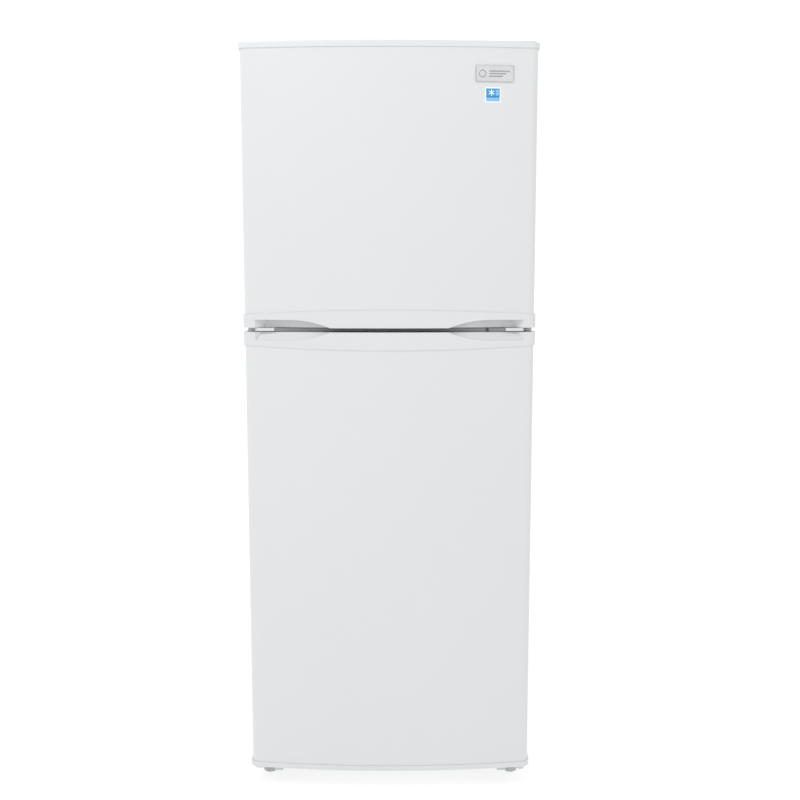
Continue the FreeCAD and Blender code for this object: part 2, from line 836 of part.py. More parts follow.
def hinge_hole_plugs():
    """Plugs in the unused hinge holes on the left: one in the gap and two on the cabinet's top."""
    in_gap = block((-250, -214), (size["ear_front"], front), EAR_Z, 2, "Z")
    on_top = [turned("Z", (-x, -185, top), [(0, 0), (6, 0), (5, 2.5), (0, 2.5)]) for x in HINGE_SCREW_X]
    part("hinge_hole_plugs", group(in_gap, *on_top))


# ---- feet and rollers ----------------------------------------------------------------------------------


def leveling_foot(name, side):
    """A plastic foot on a threaded stud."""
    radius = size["foot_radius"]
    corners = [(0, 0), (radius - 1, 0), (radius, 1), (radius, 8), (radius - 2, 10), (6, 13),
               (size["pin_radius"], 13), (size["pin_radius"], base - 1), (0, base - 1)]
    part(name, turned("Z", (side * size["foot_x"], size["foot_y"], 0), corners))


def roller(name, side):
    width = 13
    radius = size["roller_radius"]
    hole = size["tube_radius"] + size["running_gap"]
    corners = [
        (hole, 0), (radius - 2, 0), (radius, 2), (radius, width - 2), (radius - 2, width), (hole, width)
    ]
    x = side * size["roller_x"] - width / 2
    part(name, turned("X", (x, size["roller_y"], radius), corners))


def roller_axles():
    """A pin with a head through each pair of roller ears."""
    pins = []
    for side in (-1, 1):
        centre = (size["roller_y"], size["roller_radius"])
        pins.append(fuse(
            rod("X", about(side * size["roller_x"], 22), centre, size["tube_radius"]),
            rod("X", about(side * (size["roller_x"] + 11.5), 2), centre, 5),
        ))
    part("roller_axles", group(*pins))


# ---- machine room ----------------------------------------------------------------------------------------


def compressor_base():
    """The plate across the machine room, with bent ears for the rear rollers."""
    plate = box(both(inside - 2), (size["room_front"] + 4, back - 4), (base, base + 2.5))
    ears = []
    for side in (-1, 1):
        for offset in (-9, 9):
            x = about(side * size["roller_x"] + offset, 2)
            ears.append(box(x, about(size["roller_y"], 20), (size["roller_radius"] - 6, base)))
    solid = fuse(plate, *ears)
    axle = (size["roller_y"], size["roller_radius"])
    holes = [rod("X", about(side * size["roller_x"], 30), axle, size["tube_radius"]) for side in (-1, 1)]
    part("compressor_base", cut(solid, *holes))


def mount_points():
    return [
        (size["compressor_x"] + x, size["compressor_y"] + y)
        for x in (-85, 85) for y in (-45, 45)
    ]


def compressor():
    """A hermetic compressor: a welded oval can on a foot plate, with three tube stubs."""
    x, y = size["compressor_x"], size["compressor_y"]
    can = turned(
        "Z", (x, y, 53),
        [(0, 0), (48, 0), (68, 20), (68, 66), (71, 66), (71, 71), (68, 71), (68, 110), (40, 138), (0, 142)],
        {1: 20, 7: 28},
    )
    feet = block(about(x, 196), about(y, 116), (50, 53), 12, "Z")
    holes = [rod("Z", (49, 54), point, 4) for point in mount_points()]
    suction = rod("X", (x + 60, x + 92), (y - 20, 150), 4)
    discharge = rod("X", (x + 60, x + 92), (y + 20, 100), 3)
    process = rod("X", (x - 90, x - 60), (y + 20, 100), 3)
    part("compressor", fuse(can, cut(feet, *holes), suction, discharge, process))


def compressor_mounts():
    """Rubber bushes between the compressor's feet and its base plate."""
    corners = [(4, 0), (12, 0), (12, 3), (9, 5), (12, 7), (12, 9.5), (4, 9.5)]
    part("compressor_mounts", group(*[turned("Z", (x, y, base + 2.5), corners) for x, y in mount_points()]))


def relay_cover():
    """The box over the start relay and the overload, on the compressor's side."""
    x, y = size["compressor_x"], size["compressor_y"]
    outer = block((x - 104, x - 72), (y - 40, y + 10), (90, 150), 4, "Z")
    inner = block((x - 102, x - 71), (y - 38, y + 8), (92, 148), 2, "Z")
    part("relay_cover", cut(outer, inner))


def condenser():
    """A long folded tube held by flat upright straps."""
    y = size["condenser_y"]
    radius = size["tube_radius"] - 0.4
    reach = size["condenser_half"]
    pitch = size["condenser_pitch"]
    low = size["condenser_base"]
    pieces = [rod("X", both(reach), (y, low + index * pitch), radius) for index in range(CONDENSER_RUNS)]
    for index in range(CONDENSER_RUNS - 1):
        side = 1 if index % 2 else -1
        pieces.append(u_turn(side, (side * reach, y, low + (index + 0.5) * pitch), pitch / 2, radius))
    tail = low + (CONDENSER_RUNS - 1) * pitch
    for x in (-180, -60, 60, 180):
        pieces.append(box(about(x, 9), (y - radius - 1, y - radius + 0.6), (low - 14, tail + 14)))
    part("condenser", fuse(*pieces))


def condenser_brackets():
    """Clips that hold the condenser off the rear panel, with bumpers that space it from a wall."""
    clips = []
    for x in (-180, 180):
        for z in (389, 1259):
            clips.append(cut(
                box(about(x, 22), (back, 300), about(z, 16)),
                box(about(x, 11), (size["condenser_y"] - 5, size["condenser_y"] + 4), about(z, 20)),
            ))
    part("condenser_brackets", group(*clips))


def pipe(points, radius, bend_radius):
    """A tube along axis-parallel runs, with a quarter bend at each corner."""
    wire = doc.addObject("Part::Feature", "Route")
    places = [FreeCAD.Vector(*[number(value) for value in point]) for point in points]
    edges = []
    start = places[0]
    for before, corner, after in zip(places, places[1:], places[2:]):
        inward = (corner - before).normalize()
        outward = (after - corner).normalize()
        first = corner - inward * bend_radius
        last = corner + outward * bend_radius
        middle = corner + (outward - inward) * bend_radius * (1 - math.sqrt(0.5))
        edges.append(Part.LineSegment(start, first).toShape())
        edges.append(Part.Arc(first, middle, last).toShape())
        start = last
    edges.append(Part.LineSegment(start, places[-1]).toShape())
    wire.Shape = Part.Wire(edges)
    section = doc.addObject("Part::Circle", "Section")
    bind(section, "Radius", radius)
    section.Placement = FreeCAD.Placement(
        places[0], FreeCAD.Rotation(FreeCAD.Vector(0, 0, 1), places[1] - places[0])
    )
    sweep = doc.addObject("Part::Sweep", "Tube")
    sweep.Sections = [section]
    sweep.Spine = (wire, [f"Edge{i}" for i in range(1, len(edges) + 1)])
    sweep.Solid = True
    sweep.Frenet = False
    return sweep


def refrigerant_tubes():
    """Discharge to the condenser, suction back from the evaporator, and the capillary."""
    x, y = size["compressor_x"], size["compressor_y"]
    cond_y = size["condenser_y"]
    reach = size["condenser_half"]
    low = size["condenser_base"]
    high = low + (CONDENSER_RUNS - 1) * size["condenser_pitch"]
    discharge = pipe([(x + 92, y + 20, 100), (240, y + 20, 100), (240, cond_y, 100), (240, cond_y, low),
                      (reach, cond_y, low)], 2.6, 12)
    suction = pipe([(x + 92, y - 20, 150), (220, y - 20, 150), (220, y - 20, 245)], 4, 14)
    outlet = pipe([(-reach, cond_y, high), (-240, cond_y, high), (-240, cond_y, 150), (-240, 240, 150),
                   (-200, 240, 150)], 2.6, 12)
    capillary = pipe([(-122, 240, 150), (-95, 240, 150), (-95, 240, 245)], 1.2, 8)
    part("refrigerant_tubes", group(discharge, suction, outlet, capillary))


def filter_drier():
    """The copper can between the condenser and the capillary."""
    corners = [(0, 0), (2.6, 0), (8, 10), (8, 68), (1.2, 78), (0, 78)]
    part("filter_drier", turned("X", (-200, 240, 150), corners))


def drain_tube():
    tube = rod("Z", (238, size["freezer_floor"]), DRAIN, 6)
    part("drain_tube", cut(tube, rod("Z", (237, size["freezer_floor"] + 1), DRAIN, 4.5)))


def drain_pan():
    """The pan over the compressor that the melt water dries from."""
    part("drain_pan", tray((40, 205), (128, 266), (208, 236), 2, 10))


def cord_gland():
    """The insulating bush in the rear panel that the supply cord comes out of."""
    corners = [(0, 0), (10, 0), (10, 18), (15, 18), (15, 21), (9, 21), (8, 36), (0, 36)]
    body = turned("Y", (size["gland_x"], back - 18, size["gland_z"]), corners)
    inner = rod("Y", (back - 14, back + 20), (size["gland_x"], size["gland_z"]), size["gland_bore"])
    part("cord_gland", cut(body, inner))


# ---- cold side ---------------------------------------------------------------------------------------


def evaporator():
    """A finned coil behind the freezer's rear cover."""
    pieces = []
    reach = 150
    for row in range(5):
        z = 965 + row * 30
        pieces.append(rod("X", (-reach, reach), (213, z), 4))
        if row < 4:
            side = 1 if row % 2 else -1
            pieces.append(u_turn(side, (side * reach, 213, z + 15), 15, 4))
    for index in range(19):
        pieces.append(box(about(-144 + index * 16, 0.8), (196, 230), (952, 1098)))
    part("evaporator", fuse(*pieces))


def evaporator_cover():
    """The freezer's rear wall panel, with a fan opening and a slotted return."""
    wide = size["freezer_half"] - 0.5
    z = (size["freezer_floor"] + 0.5, size["freezer_ceiling"] - 0.5)
    panel = prism("Y", (184, 187), [(-wide, z[0]), (wide, z[0]), (wide, z[1]), (-wide, z[1])])
    soften(panel, 10.5, lambda e: runs_along(e, ALONG["Y"]))
    opening = rod("Y", (180, 192), (0, size["fan_z"]), size["fan_radius"] + 4)
    hub = rod("Y", (184, 187), (0, size["fan_z"]), 14)
    bars = [
        box(about(0, 112), (184, 187), about(size["fan_z"] + offset, 3))
        for offset in (-36, -24, -12, 0, 12, 24, 36)
    ]
    slots = [box(about(-140 + index * 40, 26), (180, 192), (950, 962)) for index in range(8)]
    hood = cut(panel, opening, *slots)
    part("evaporator_cover", fuse(hood, hub, *bars))


def evaporator_fan():
    """A hub with five pitched blades."""
    y, z = size["fan_y"], size["fan_z"]
    hub = turned("Y", (0, y - 12, z), [(0, 0), (9, 0), (12, 3), (12, 14), (0, 14)])
    blades = []
    for index in range(5):
        blade = doc.addObject("Part::Box", "Blade")
        blade.Length = 36
        blade.Width = 1.2
        blade.Height = 26
        spin = FreeCAD.Rotation(FreeCAD.Vector(0, 1, 0), index * 72)
        pitch = FreeCAD.Rotation(FreeCAD.Vector(1, 0, 0), 62)
        offset = spin.multVec(pitch.multVec(FreeCAD.Vector(10, -0.6, -13)))
        blade.Placement = FreeCAD.Placement(FreeCAD.Vector(), spin.multiply(pitch))
        place(blade, offset.x, y - 5 + offset.y, z + offset.z)
        blades.append(blade)
    shaft_hole = rod("Y", (y - 7, y + 3), (0, z), 2 + size["running_gap"])
    part("evaporator_fan", cut(fuse(hub, *blades), shaft_hole))


def fan_motor():
    y, z = size["fan_y"], size["fan_z"]
    can = turned("Y", (0, y + 9, z), [(0, 0), (20, 0), (24, 4), (24, 22), (20, 26), (0, 26)])
    shaft = rod("Y", (y - 6, y + 9), (0, z), 2)
    arms = box(about(0, 120), (y + 16, y + 20), about(z, 8))
    part("fan_motor", fuse(can, shaft, arms))


# ---- inside the fridge compartment -------------------------------------------------------------------


def glass_shelf(shelf_top, span):
    reach = size["fridge_half"] - 0.5
    return block(both(reach), span, (shelf_top - size["glass_thick"], shelf_top), 3, "Z")


def shelves():
    span = (size["shelf_front"], size["fridge_back"] - 22)
    part("glass_shelves", group(
        glass_shelf(size["lower_shelf"], span), glass_shelf(size["upper_shelf"], span)))
    part("crisper_cover", glass_shelf(size["crisper_shelf"], (size["shelf_front"], size["step_front"] - 1)))


def freezer_shelf():
    """A wire shelf: two long rails, cross wires and a front lip."""
    z = size["freezer_shelf"]
    reach = size["freezer_half"] - 3
    y = (size["shelf_front"], 168)
    wires = [rod("X", both(reach), (y_wire, z - 2), 2) for y_wire in (y[0] + 3, y[1] - 3)]
    for index in range(19):
        x = -198 + index * 22
        wires.append(rod("Y", shift(y, 3, -3), (x, z - 1), 1.2))
    part("freezer_shelf", fuse(*wires))


def crisper_drawer():
    """A clear drawer that rides just above the compartment's floor."""
    x = both(205)
    body = tray(x, (-135, 45), (98.4, 284), 2.5, 12)
    grip = cut(
        box(both(60), (-141, -134), (262, 284)),
        box(both(57), (-138.5, -134), (255, 281)),
    )
    part("crisper_drawer", fuse(body, grip))


def control_housing():
    """The box under the ceiling that holds the thermostat and the lamp."""
    x = (-92, 92)
    y = (-138, 20)
    z = (826, size["fridge_ceiling"])
    shell = cut(
        block(x, y, z, 8, "Z"),
        block((x[0] + 2, x[1] - 2), (y[0] + 2, y[1] - 2), (z[0] + 2, z[1] + 1), 6, "Z"),
    )
    stem_hole = rod("Y", (y[0] - 1, y[0] + 5), KNOB, 3 + size["running_gap"])
    windows = [box(about(32, 76), about(-110 + 14 * index, 7), (z[0] - 1, z[0] + 3)) for index in range(8)]
    part("control_housing", cut(shell, stem_hole, *windows))


def thermostat_knob():
    """A grip knob on a stem that turns in the control housing's front."""
    corners = [(0, 0), (13, 0), (15, 2), (15, 9), (3, 9), (3, 22), (0, 22)]
    body = turned("Y", (KNOB[0], -148, KNOB[1]), corners)
    pointer = box(about(KNOB[0], 3), (-149.5, -146), (KNOB[1] - 2, KNOB[1] + 13))
    part("thermostat_knob", fuse(body, pointer))


def lamp_bulb():
    """A small bulb in its cap, lying under the ceiling."""
    corners = [(0, 0), (6.5, 0), (6.5, 14), (8, 22), (12, 38), (0, 50)]
    part("lamp_bulb", turned("X", (20, -60, 846), corners, {4: 12}))


def light_switch():
    """A push switch behind the centre rail: its guide and its plunger."""
    shell = box(SWITCH_X, (front + steel, SWITCH_BACK), SWITCH_Z)
    guide = rod("Y", (front, front + 18), PLUNGER, 3 + size["running_gap"])
    part("light_switch_body", cut(shell, guide))
    tip = front - 9.6
    part("light_switch_plunger", turned(
        "Y", (PLUNGER[0], tip, PLUNGER[1]), [(0, 0), (2, 0), (3, 1), (3, 22), (0, 22)]))


DRAIN = (120, 254)
HINGE_SCREW_X = (224, 250)
FOOT_SCREW_X = (222, 256)
FOOT_SCREW_Y = -172
LEAF_SCREW_X = 182
EAR_X = (216, 250)
NOSE_X = (-209, 172)
EAR_Z = about(gap_middle + 0.6, size["ear_thick"])
SCOOP_PAST = 6
PLUNGER = (-150, 877.5)
SWITCH_X = (-158, -142)
SWITCH_Z = (872.5, 884)
SWITCH_BACK = -208
KNOB = (-50, 846)
CONDENSER_RUNS = 17
FRIDGE_RING = (106, 852)
FREEZER_RING = (949, 1336)


def build():
    cabinet_shell()
    rear_panel()
    bottom_deck()
    fridge_liner()
    freezer_liner()
    insulation_foam()
    center_rail()
    for word, door, ring, seal in (
        ("freezer", freezer_door, FREEZER_RING, (909, 1403)),
        ("fridge", fridge_door, FRIDGE_RING, (58, 895)),
    ):
        door_skin(f"{word}_door_skin", door)
        door_foam(f"{word}_door_foam", door, ring)
        door_liner(f"{word}_door_liner", door, ring)
        gasket(f"{word}_door_gasket", seal)
    grip_cap("freezer_door_bottom_cap", freezer_door)
    end_cap("freezer_door_top_cap", freezer_door)
    grip_cap("fridge_door_top_cap", fridge_door)
    end_cap("fridge_door_bottom_cap", fridge_door)
    door_bins("freezer_door_bins", [(967, 1027), (1160, 1220)], -178)
    door_bins("fridge_door_bins", [(420, 484), (640, 704)], -168)
    door_bins("bottle_bin", [(126, 226)], -150)
    on_face("badge_plate", (155, 225), (1347.5, 1377.5), 1.5)
    on_face("energy_label", (172.5, 201.5), (1312, 1339), 0.4)
    top_hinge()
    top_hinge_cover()
    middle_hinge()
    bottom_hinge()
    left_foot_bracket()
    fasteners()
    hinge_hole_plugs()
    leveling_foot("leveling_foot_left", -1)
    leveling_foot("leveling_foot_right", 1)
    roller("rear_roller_left", -1)
    roller("rear_roller_right", 1)
    roller_axles()
    compressor_base()
    compressor()
    compressor_mounts()
    relay_cover()
    condenser()
    condenser_brackets()
    refrigerant_tubes()
    filter_drier()
    drain_tube()
    drain_pan()
    cord_gland()
    evaporator()
    evaporator_cover()
    evaporator_fan()
    fan_motor()
    shelves()
    freezer_shelf()
    crisper_drawer()
    control_housing()
    thermostat_knob()
    lamp_bulb()
    light_switch()


def export():
    """Check every object, then write one STEP file for each sub-part."""
    doc.recompute()
    for item in doc.Objects:
        if "Invalid" in item.State or "Error" in item.State:
            raise RuntimeError(f"{item.Label} failed: {item.State}")
    for item in parts:
        if item.Shape.isNull() or not item.Shape.isValid() or not item.Shape.Solids:
            raise RuntimeError(f"{item.Label} has no valid solid")
    os.makedirs("parts", exist_ok=True)
    for item in parts:
        item.Shape.exportStep(f"parts/{item.Label}.step")
        print(f"{item.Label:26s} {len(item.Shape.Solids):3d} solids {item.Shape.Volume / 1000:10.1f} cm3")
    print(len(parts), "parts")


build()
export()
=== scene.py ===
import json
import math

import bmesh
import bpy
from mathutils import Matrix, Vector


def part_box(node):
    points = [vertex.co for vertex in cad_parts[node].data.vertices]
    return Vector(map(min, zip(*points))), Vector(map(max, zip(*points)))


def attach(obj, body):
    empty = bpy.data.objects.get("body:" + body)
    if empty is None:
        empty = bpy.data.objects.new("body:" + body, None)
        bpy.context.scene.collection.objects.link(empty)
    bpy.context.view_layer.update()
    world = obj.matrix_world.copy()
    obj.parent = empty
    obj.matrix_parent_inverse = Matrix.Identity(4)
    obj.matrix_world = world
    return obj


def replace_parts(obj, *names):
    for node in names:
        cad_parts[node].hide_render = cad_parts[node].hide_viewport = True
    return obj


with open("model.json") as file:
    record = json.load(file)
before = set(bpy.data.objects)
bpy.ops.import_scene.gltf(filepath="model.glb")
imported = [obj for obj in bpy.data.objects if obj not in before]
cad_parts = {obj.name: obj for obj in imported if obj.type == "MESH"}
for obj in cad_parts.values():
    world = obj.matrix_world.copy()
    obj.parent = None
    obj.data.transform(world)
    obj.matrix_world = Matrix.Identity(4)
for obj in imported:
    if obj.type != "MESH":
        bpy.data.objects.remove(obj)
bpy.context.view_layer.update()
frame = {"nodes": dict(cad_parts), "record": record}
NODES = frame["nodes"]
MM = 0.001

FORWARD = (0, -1, 0)
BACKWARD = (0, 1, 0)
RIGHTWARD = (1, 0, 0)
UPWARD = (0, 0, 1)
DOWNWARD = (0, 0, -1)

# Places that the frame doesn't give, in millimetres.
GAP_MIDDLE = 902
COMPRESSOR_X, COMPRESSOR_Y = 70, 188
SUCTION_Y, DISCHARGE_Y = 168, 208
SUCTION_Z, DISCHARGE_Z = 150, 100
FAN_Z = 1292
KNOB_X, KNOB_Z = -50, 846
LAMP_Y, LAMP_Z = -60, 846
LEAF_SCREW_X = 182
SHELF_TOPS = (500, 680)
CRISPER_TOP = 300
FREEZER_BINS = ((967, 1027), (1160, 1220))
FRIDGE_BINS = ((420, 484), (640, 704))
BOTTLE_BIN = (126, 226)


def mm(points):
    """Points given in millimetres, as metres."""
    return [tuple(value * MM for value in point) for point in points]


# ---- materials ----


def new_material(name):
    """A Principled material, with its node tree, its shader and its object coordinates."""
    made = bpy.data.materials.new(name)
    made.use_nodes = True
    tree = made.node_tree
    shader = tree.nodes["Principled BSDF"]
    coords = tree.nodes.new("ShaderNodeTexCoord")
    return made, tree, shader, coords.outputs["Object"]


def stretched(tree, coords, stretch):
    """Coordinates scaled along each axis, so that a grain runs one way."""
    mapping = tree.nodes.new("ShaderNodeMapping")
    mapping.inputs["Scale"].default_value = stretch
    tree.links.new(coords, mapping.inputs["Vector"])
    return mapping.outputs["Vector"]


def noise(tree, coords, scale, detail=3.0, distortion=0.0):
    texture = tree.nodes.new("ShaderNodeTexNoise")
    texture.inputs["Scale"].default_value = scale
    texture.inputs["Detail"].default_value = detail
    texture.inputs["Distortion"].default_value = distortion
    tree.links.new(coords, texture.inputs["Vector"])
    return texture.outputs["Fac"]


def ramp(tree, value, low, high, start=0.3, end=0.7):
    """A value turned into a colour between two."""
    node = tree.nodes.new("ShaderNodeValToRGB")
    node.color_ramp.elements[0].position = start
    node.color_ramp.elements[1].position = end
    node.color_ramp.elements[0].color = (*low, 1)
    node.color_ramp.elements[1].color = (*high, 1)
    tree.links.new(value, node.inputs["Fac"])
    return node.outputs["Color"]


def spread(tree, value, low, high):
    """A value from 0.3 to 0.7 turned into a number between two."""
    node = tree.nodes.new("ShaderNodeMapRange")
    node.inputs["From Min"].default_value = 0.3
    node.inputs["From Max"].default_value = 0.7
    node.inputs["To Min"].default_value = low
    node.inputs["To Max"].default_value = high
    tree.links.new(value, node.inputs["Value"])
    return node.outputs["Result"]


def bump(tree, value, depth, strength=1.0, below=None):
    """A bump of a real depth in metres, on top of another bump if one is given."""
    node = tree.nodes.new("ShaderNodeBump")
    node.inputs["Strength"].default_value = strength
    node.inputs["Distance"].default_value = depth
    tree.links.new(value, node.inputs["Height"])
    if below is not None:
        tree.links.new(below, node.inputs["Normal"])
    return node.outputs["Normal"]


def surface(name, dark, light, rough, grain, depth, tone_scale=4.0, stretch=(1, 1, 1), **sockets):
    """The usual finish: a slow drift of colour, a finer change of roughness, and a grain in the bump."""
    made, tree, shader, coords = new_material(name)
    along = stretched(tree, coords, stretch)
    tone = noise(tree, coords, tone_scale, 4.0)
    tree.links.new(ramp(tree, tone, dark, light), shader.inputs["Base Color"])
    wear = noise(tree, along, grain * 0.12, 5.0)
    tree.links.new(spread(tree, wear, *rough), shader.inputs["Roughness"])
    fine = noise(tree, along, grain, 2.0)
    tree.links.new(bump(tree, fine, depth), shader.inputs["Normal"])
    for socket, value in sockets.items():
        shader.inputs[socket.replace("_", " ")].default_value = value
    return made


def white_enamel():
    """Baked white enamel over steel: a faint orange peel under a clear gloss."""
    made, tree, shader, coords = new_material("white_enamel")
    tone = noise(tree, coords, 3.0, 3.0)
    colour = ramp(tree, tone, (0.717, 0.725, 0.733), (0.725, 0.733, 0.741))
    tree.links.new(colour, shader.inputs["Base Color"])
    haze = noise(tree, coords, 30.0, 4.0)
    tree.links.new(spread(tree, haze, 0.3, 0.4), shader.inputs["Roughness"])
    peel = noise(tree, coords, 420.0, 1.0)
    wave = noise(tree, coords, 60.0, 1.0)
    under = bump(tree, wave, 0.00003)
    tree.links.new(bump(tree, peel, 0.00002, 0.6, under), shader.inputs["Normal"])
    shader.inputs["Coat Weight"].default_value = 0.25
    shader.inputs["Coat Roughness"].default_value = 0.12
    return made


def brushed_badge():
    """Satin silver with a fine horizontal brush."""
    return surface(
        "badge_silver", (0.8, 0.81, 0.825), (0.88, 0.885, 0.9), (0.3, 0.4), 2600.0, 0.00002,
        tone_scale=60.0, stretch=(0.05, 1, 1), Metallic=0.85,
    )


def clear_glass():
    made, tree, shader, coords = new_material("shelf_glass")
    smear = noise(tree, coords, 14.0, 4.0)
    tree.links.new(spread(tree, smear, 0.02, 0.07), shader.inputs["Roughness"])
    tree.links.new(ramp(tree, smear, (0.86, 0.96, 0.93), (0.9, 0.98, 0.96)), shader.inputs["Base Color"])
    shader.inputs["Transmission Weight"].default_value = 0.92
    shader.inputs["IOR"].default_value = 1.5
    return made


def clear_plastic():
    """Clear moulded plastic with a faint blue tint and soft flow marks."""
    made, tree, shader, coords = new_material("clear_plastic")
    flow = noise(tree, stretched(tree, coords, (1, 1, 3)), 25.0, 3.0, 0.6)
    tree.links.new(spread(tree, flow, 0.06, 0.14), shader.inputs["Roughness"])
    tree.links.new(ramp(tree, flow, (0.955, 0.972, 0.98), (0.975, 0.985, 0.99)), shader.inputs["Base Color"])
    tree.links.new(bump(tree, flow, 0.00006, 0.5), shader.inputs["Normal"])
    shader.inputs["Transmission Weight"].default_value = 0.74
    shader.inputs["IOR"].default_value = 1.36
    return made


def galvanised():
    """Zinc-coated sheet: large flat crystals that differ a little in tone and gloss."""
    made, tree, shader, coords = new_material("zinc_steel")
    crystals = tree.nodes.new("ShaderNodeTexVoronoi")
    crystals.inputs["Scale"].default_value = 90.0
    crystals.inputs["Randomness"].default_value = 1.0
    bent = tree.nodes.new("ShaderNodeVectorMath")
    bent.operation = "ADD"
    wobble = tree.nodes.new("ShaderNodeTexNoise")
    wobble.inputs["Scale"].default_value = 70.0
    shrink = tree.nodes.new("ShaderNodeVectorMath")
    shrink.operation = "SCALE"
    shrink.inputs["Scale"].default_value = 0.008
    tree.links.new(coords, wobble.inputs["Vector"])
    tree.links.new(wobble.outputs["Color"], shrink.inputs[0])
    tree.links.new(coords, bent.inputs[0])
    tree.links.new(shrink.outputs["Vector"], bent.inputs[1])
    tree.links.new(bent.outputs["Vector"], crystals.inputs["Vector"])
    grey = tree.nodes.new("ShaderNodeSeparateColor")
    tree.links.new(crystals.outputs["Color"], grey.inputs["Color"])
    tone = ramp(tree, grey.outputs["Red"], (0.5, 0.51, 0.52), (0.62, 0.63, 0.64), 0.0, 1.0)
    tree.links.new(tone, shader.inputs["Base Color"])
    tree.links.new(spread(tree, grey.outputs["Green"], 0.34, 0.42), shader.inputs["Roughness"])
    fine = noise(tree, coords, 700.0, 2.0)
    tree.links.new(bump(tree, fine, 0.00003), shader.inputs["Normal"])
    shader.inputs["Metallic"].default_value = 1.0
    return made


def frosted_bulb():
    made, tree, shader, coords = new_material("lamp_glass")
    frost = noise(tree, coords, 900.0, 2.0)
    tree.links.new(spread(tree, frost, 0.35, 0.5), shader.inputs["Roughness"])
    tree.links.new(ramp(tree, frost, (0.9, 0.88, 0.8), (0.96, 0.94, 0.88)), shader.inputs["Base Color"])
    tree.links.new(bump(tree, frost, 0.00005, 0.5), shader.inputs["Normal"])
    shader.inputs["Transmission Weight"].default_value = 0.55
    return made


def rigid_foam():
    """Pale yellow foam with a cell pattern."""
    made, tree, shader, coords = new_material("rigid_foam")
    cells = tree.nodes.new("ShaderNodeTexVoronoi")
    cells.inputs["Scale"].default_value = 700.0
    tree.links.new(coords, cells.inputs["Vector"])
    tone = noise(tree, coords, 18.0, 5.0)
    tree.links.new(ramp(tree, tone, (0.72, 0.6, 0.3), (0.84, 0.74, 0.45)), shader.inputs["Base Color"])
    tree.links.new(bump(tree, cells.outputs["Distance"], 0.0006), shader.inputs["Normal"])
    tree.links.new(spread(tree, tone, 0.85, 0.95), shader.inputs["Roughness"])
    return made


METAL = {"Metallic": 1.0}
GLOSS = {"Coat_Weight": 0.3}

# The dark and light tone, the range of roughness, the grain per metre, the bump's depth in millimetres, the
# scale of the drift of tone, and any other shader sockets.
FINISHES = {
    "white_plastic": ((0.705, 0.713, 0.721), (0.73, 0.738, 0.746), (0.33, 0.45), 700, 0.04, 5,
        {"Specular_IOR_Level": 0.5}),
    "hinge_enamel": ((0.66, 0.67, 0.68), (0.72, 0.73, 0.74), (0.32, 0.45), 500, 0.03, 25,
        {"Coat_Weight": 0.2}),
    "liner_plastic": ((0.776, 0.786, 0.781), (0.782, 0.792, 0.787), (0.34, 0.38), 240, 0.01, 1.2,
        {"Coat_Weight": 0.05}),
    "gasket_rubber": ((0.5, 0.505, 0.505), (0.58, 0.585, 0.58), (0.55, 0.7), 1500, 0.04, 12,
        {"Sheen_Weight": 0.2}),
    "black_steel": ((0.012, 0.012, 0.013), (0.028, 0.028, 0.03), (0.3, 0.5), 600, 0.06, 20,
        {"Coat_Weight": 0.15}),
    "black_plastic": ((0.018, 0.018, 0.019), (0.035, 0.035, 0.037), (0.5, 0.7), 1400, 0.08, 25, {}),
    "grey_plastic": ((0.5, 0.505, 0.51), (0.57, 0.575, 0.58), (0.45, 0.6), 1200, 0.08, 40, {}),
    # The gap's grey is painted shade, standing in for the shade deep in the gap between the doors.
    "gap_painted_shade_grey": ((0.225, 0.23, 0.245), (0.26, 0.265, 0.28), (0.45, 0.6), 1200, 0.05, 25, {}),
    "knob_plastic": ((0.64, 0.65, 0.66), (0.72, 0.73, 0.74), (0.3, 0.45), 1200, 0.05, 30, {}),
    "coated_wire": ((0.7, 0.7, 0.69), (0.78, 0.78, 0.77), (0.3, 0.45), 900, 0.05, 30, {"Coat_Weight": 0.2}),
    "copper": ((0.38, 0.15, 0.08), (0.68, 0.34, 0.2), (0.25, 0.45), 500, 0.03, 35, METAL),
    "evaporator_aluminium": ((0.55, 0.56, 0.57), (0.72, 0.73, 0.74), (0.3, 0.5), 900, 0.03, 30, METAL),
    "motor_steel": ((0.35, 0.36, 0.37), (0.5, 0.51, 0.52), (0.3, 0.5), 900, 0.03, 40, METAL),
    "black_rubber": ((0.015, 0.015, 0.015), (0.03, 0.03, 0.03), (0.7, 0.85), 1500, 0.1, 30, {}),
    "drain_plastic": ((0.55, 0.55, 0.52), (0.66, 0.66, 0.63), (0.4, 0.55), 400, 0.05, 15, {}),
    "label_blue": ((0.03, 0.29, 0.6), (0.04, 0.34, 0.67), (0.25, 0.38), 1500, 0.02, 80, GLOSS),
    "label_white": ((0.9, 0.92, 0.93), (0.93, 0.95, 0.96), (0.3, 0.42), 1500, 0.02, 90, GLOSS),
    "label_light_blue": ((0.2, 0.52, 0.86), (0.25, 0.58, 0.92), (0.25, 0.38), 1500, 0.02, 80, GLOSS),
    "label_deep_blue": ((0.01, 0.075, 0.28), (0.016, 0.1, 0.34), (0.25, 0.38), 1500, 0.02, 80, GLOSS),
    "badge_rim": ((0.62, 0.625, 0.64), (0.7, 0.705, 0.72), (0.2, 0.3), 1500, 0.02, 60, {"Metallic": 0.9}),
    "badge_dark": ((0.4, 0.405, 0.42), (0.48, 0.485, 0.5), (0.3, 0.42), 1500, 0.02, 60, METAL),
    "screw_dark": ((0.06, 0.06, 0.063), (0.1, 0.1, 0.104), (0.35, 0.5), 900, 0.04, 60, {"Metallic": 0.6}),
    "seam_shadow": ((0.05, 0.05, 0.052), (0.09, 0.09, 0.093), (0.6, 0.8), 900, 0.05, 40, {}),
}


